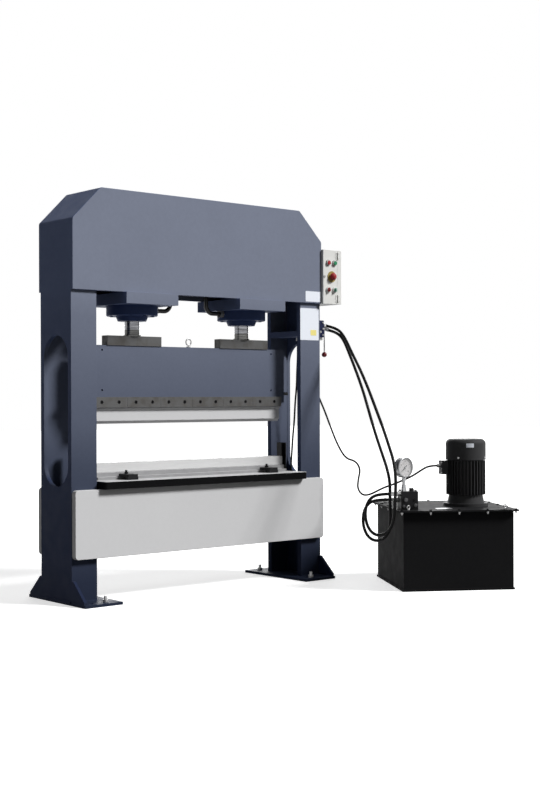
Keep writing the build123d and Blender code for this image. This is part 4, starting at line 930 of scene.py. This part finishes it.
for name, around, slot in (
    ("button_rings", ("stop_button", "start_button"), "black_plastic"),
    ("selector_rings", ("selector_left", "selector_right"), "zinc_steel"),
):
    mesh = bmesh.new()
    for node in around:
        x, _, z = front_middle(node)
        add_turned(mesh, (x, door_front, z), FRONT, CONTROL_RING, 32)
    finish_piece(name, mesh, "door", slot, smooth=True)
for node in ("selector_left", "selector_right"):
    mesh = bmesh.new()
    x, front, z = front_middle(node)
    spot = (x, front, z + SELECTOR_MARK_LIFT)
    add_slab(mesh, spot, RIGHT, UP, *SELECTOR_MARK_SIZE, SELECTOR_MARK_DEPTH, SELECTOR_MARK_CORNER)
    finish_piece(node + "_mark", mesh, node, "box_paint", white_film)

# Socket screws in a circle under each cylinder flange
CYLINDER_X = 0.3495
FLANGE_SCREWS = 10
FLANGE_SCREW_CIRCLE = 0.106
FLANGE_UNDER = 1.378
mesh = bmesh.new()
for side in (-1, 1):
    for step in range(FLANGE_SCREWS):
        angle = 2 * math.pi * (step + 0.5) / FLANGE_SCREWS
        spot = (
            side * CYLINDER_X + FLANGE_SCREW_CIRCLE * math.cos(angle),
            FLANGE_SCREW_CIRCLE * math.sin(angle),
            FLANGE_UNDER,
        )
        add_turned(mesh, spot, DOWN, FLANGE_SCREW, 20)
# The flange screws take the cylinders' paint, with its painted shade
finish_piece("flange_screws", mesh, "frame", "frame_paint", cylinder_shaded_paint, smooth=True)

# Weld beads: round the columns' feet, and where the head's front meets its cylinder plates
FLOOR_PLATE_TOP = 0.014
COLUMN_FRONT = 0.1375
COLUMN_OUTER = 0.7875
COLUMN_INNER = 0.6475
WELD_REACH = 0.130
FOOT_BEAD = 0.005
HEAD_BEAD = 0.0035
PLATE_NEAR = 0.196
PLATE_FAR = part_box("cylinder_plates")[1].x
PLATE_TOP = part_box("cylinder_plates")[1].z
mesh = bmesh.new()
for side in (-1, 1):
    for way in (-1, 1):
        inner = (side * COLUMN_INNER, way * COLUMN_FRONT, FLOOR_PLATE_TOP)
        outer = (side * COLUMN_OUTER, way * COLUMN_FRONT, FLOOR_PLATE_TOP)
        add_weld(mesh, inner, outer, (0, way, 0.8), FOOT_BEAD)
    front = (side * COLUMN_OUTER, -WELD_REACH, FLOOR_PLATE_TOP)
    back = (side * COLUMN_OUTER, WELD_REACH, FLOOR_PLATE_TOP)
    add_weld(mesh, front, back, (side, 0, 0.8), FOOT_BEAD)
    near = (side * PLATE_NEAR, head_front, PLATE_TOP)
    far = (side * PLATE_FAR, head_front, PLATE_TOP)
    add_weld(mesh, near, far, (0, -0.7, 0.7), HEAD_BEAD)
finish_piece("weld_beads", mesh, "frame", "frame_paint", smooth=True)

# World: white where it is seen or mirrored, and dim where it lights the object
AMBIENT = 0.14
world = bpy.data.worlds.new("studio")
bpy.context.scene.world = world
world.use_nodes = True
world_nodes = world.node_tree.nodes
background = world_nodes["Background"]
background.inputs["Color"].default_value = (1, 1, 1, 1)


def seen(tree):
    """1 for camera, mirror and glass rays, and 0 for the light that falls on the object."""
    rays = tree.nodes.new("ShaderNodeLightPath")
    total = rays.outputs["Is Camera Ray"]
    for name in ("Is Glossy Ray", "Is Transmission Ray"):
        node = tree.nodes.new("ShaderNodeMath")
        node.operation = "MAXIMUM"
        tree.links.new(total, node.inputs[0])
        tree.links.new(rays.outputs[name], node.inputs[1])
        total = node.outputs["Value"]
    return total


strength = world_nodes.new("ShaderNodeMapRange")
strength.inputs["To Min"].default_value = AMBIENT
strength.inputs["To Max"].default_value = 1.0
world.node_tree.links.new(seen(world.node_tree), strength.inputs["Value"])
world.node_tree.links.new(strength.outputs["Result"], background.inputs["Strength"])


# Lamps: a broad soft key from the front, right and above, and a weaker fill from behind
def add_lamp(name, way, level, spread):
    """A distant lamp that lights a face square to the front or back at this level."""
    way = Vector(way).normalized()
    light = bpy.data.lights.new(name, "SUN")
    light.energy = level * math.pi / abs(way.y)
    light.angle = math.radians(spread)
    lamp = bpy.data.objects.new(name, light)
    bpy.context.scene.collection.objects.link(lamp)
    lamp.rotation_mode = "QUATERNION"
    lamp.rotation_quaternion = way.to_track_quat("Z", "Y")


KEY_LEVEL = 0.86
KEY_SPREAD = 14
FILL_LEVEL = 0.45
FILL_SPREAD = 40
add_lamp("key", (0.56, -0.70, 0.74), KEY_LEVEL, KEY_SPREAD)
add_lamp("fill", (0.62, 0.78, 0.22), FILL_LEVEL, FILL_SPREAD)

# Floor: white to the camera with a faint shadow, and dark to the light that it would throw back
FLOOR_SIZE = 60.0
FLOOR_GLOW = 0.62
FLOOR_SEEN = (0.85, 0.85, 0.85, 1)
FLOOR_HIDDEN = (0.12, 0.12, 0.12, 1)
floor_finish = bpy.data.materials.new("studio_floor")
floor_finish.use_nodes = True
tree = floor_finish.node_tree
shown = tree.nodes.new("ShaderNodeBsdfDiffuse")
shown.inputs["Color"].default_value = FLOOR_SEEN
glow = tree.nodes.new("ShaderNodeEmission")
glow.inputs["Strength"].default_value = FLOOR_GLOW
both = tree.nodes.new("ShaderNodeAddShader")
hidden = tree.nodes.new("ShaderNodeBsdfDiffuse")
hidden.inputs["Color"].default_value = FLOOR_HIDDEN
choice = tree.nodes.new("ShaderNodeMixShader")
tree.links.new(shown.outputs[0], both.inputs[0])
tree.links.new(glow.outputs[0], both.inputs[1])
tree.links.new(seen(tree), choice.inputs["Fac"])
tree.links.new(hidden.outputs[0], choice.inputs[1])
tree.links.new(both.outputs[0], choice.inputs[2])
tree.links.new(choice.outputs[0], tree.nodes["Material Output"].inputs["Surface"])
floor_mesh = bmesh.new()
bmesh.ops.create_grid(floor_mesh, x_segments=1, y_segments=1, size=FLOOR_SIZE / 2)
floor_data = bpy.data.meshes.new("studio_floor")
floor_mesh.to_mesh(floor_data)
floor_mesh.free()
floor = bpy.data.objects.new("studio_floor", floor_data)
bpy.context.scene.collection.objects.link(floor)
floor_data.materials.append(floor_finish)

bpy.context.scene.view_settings.view_transform = "Standard"
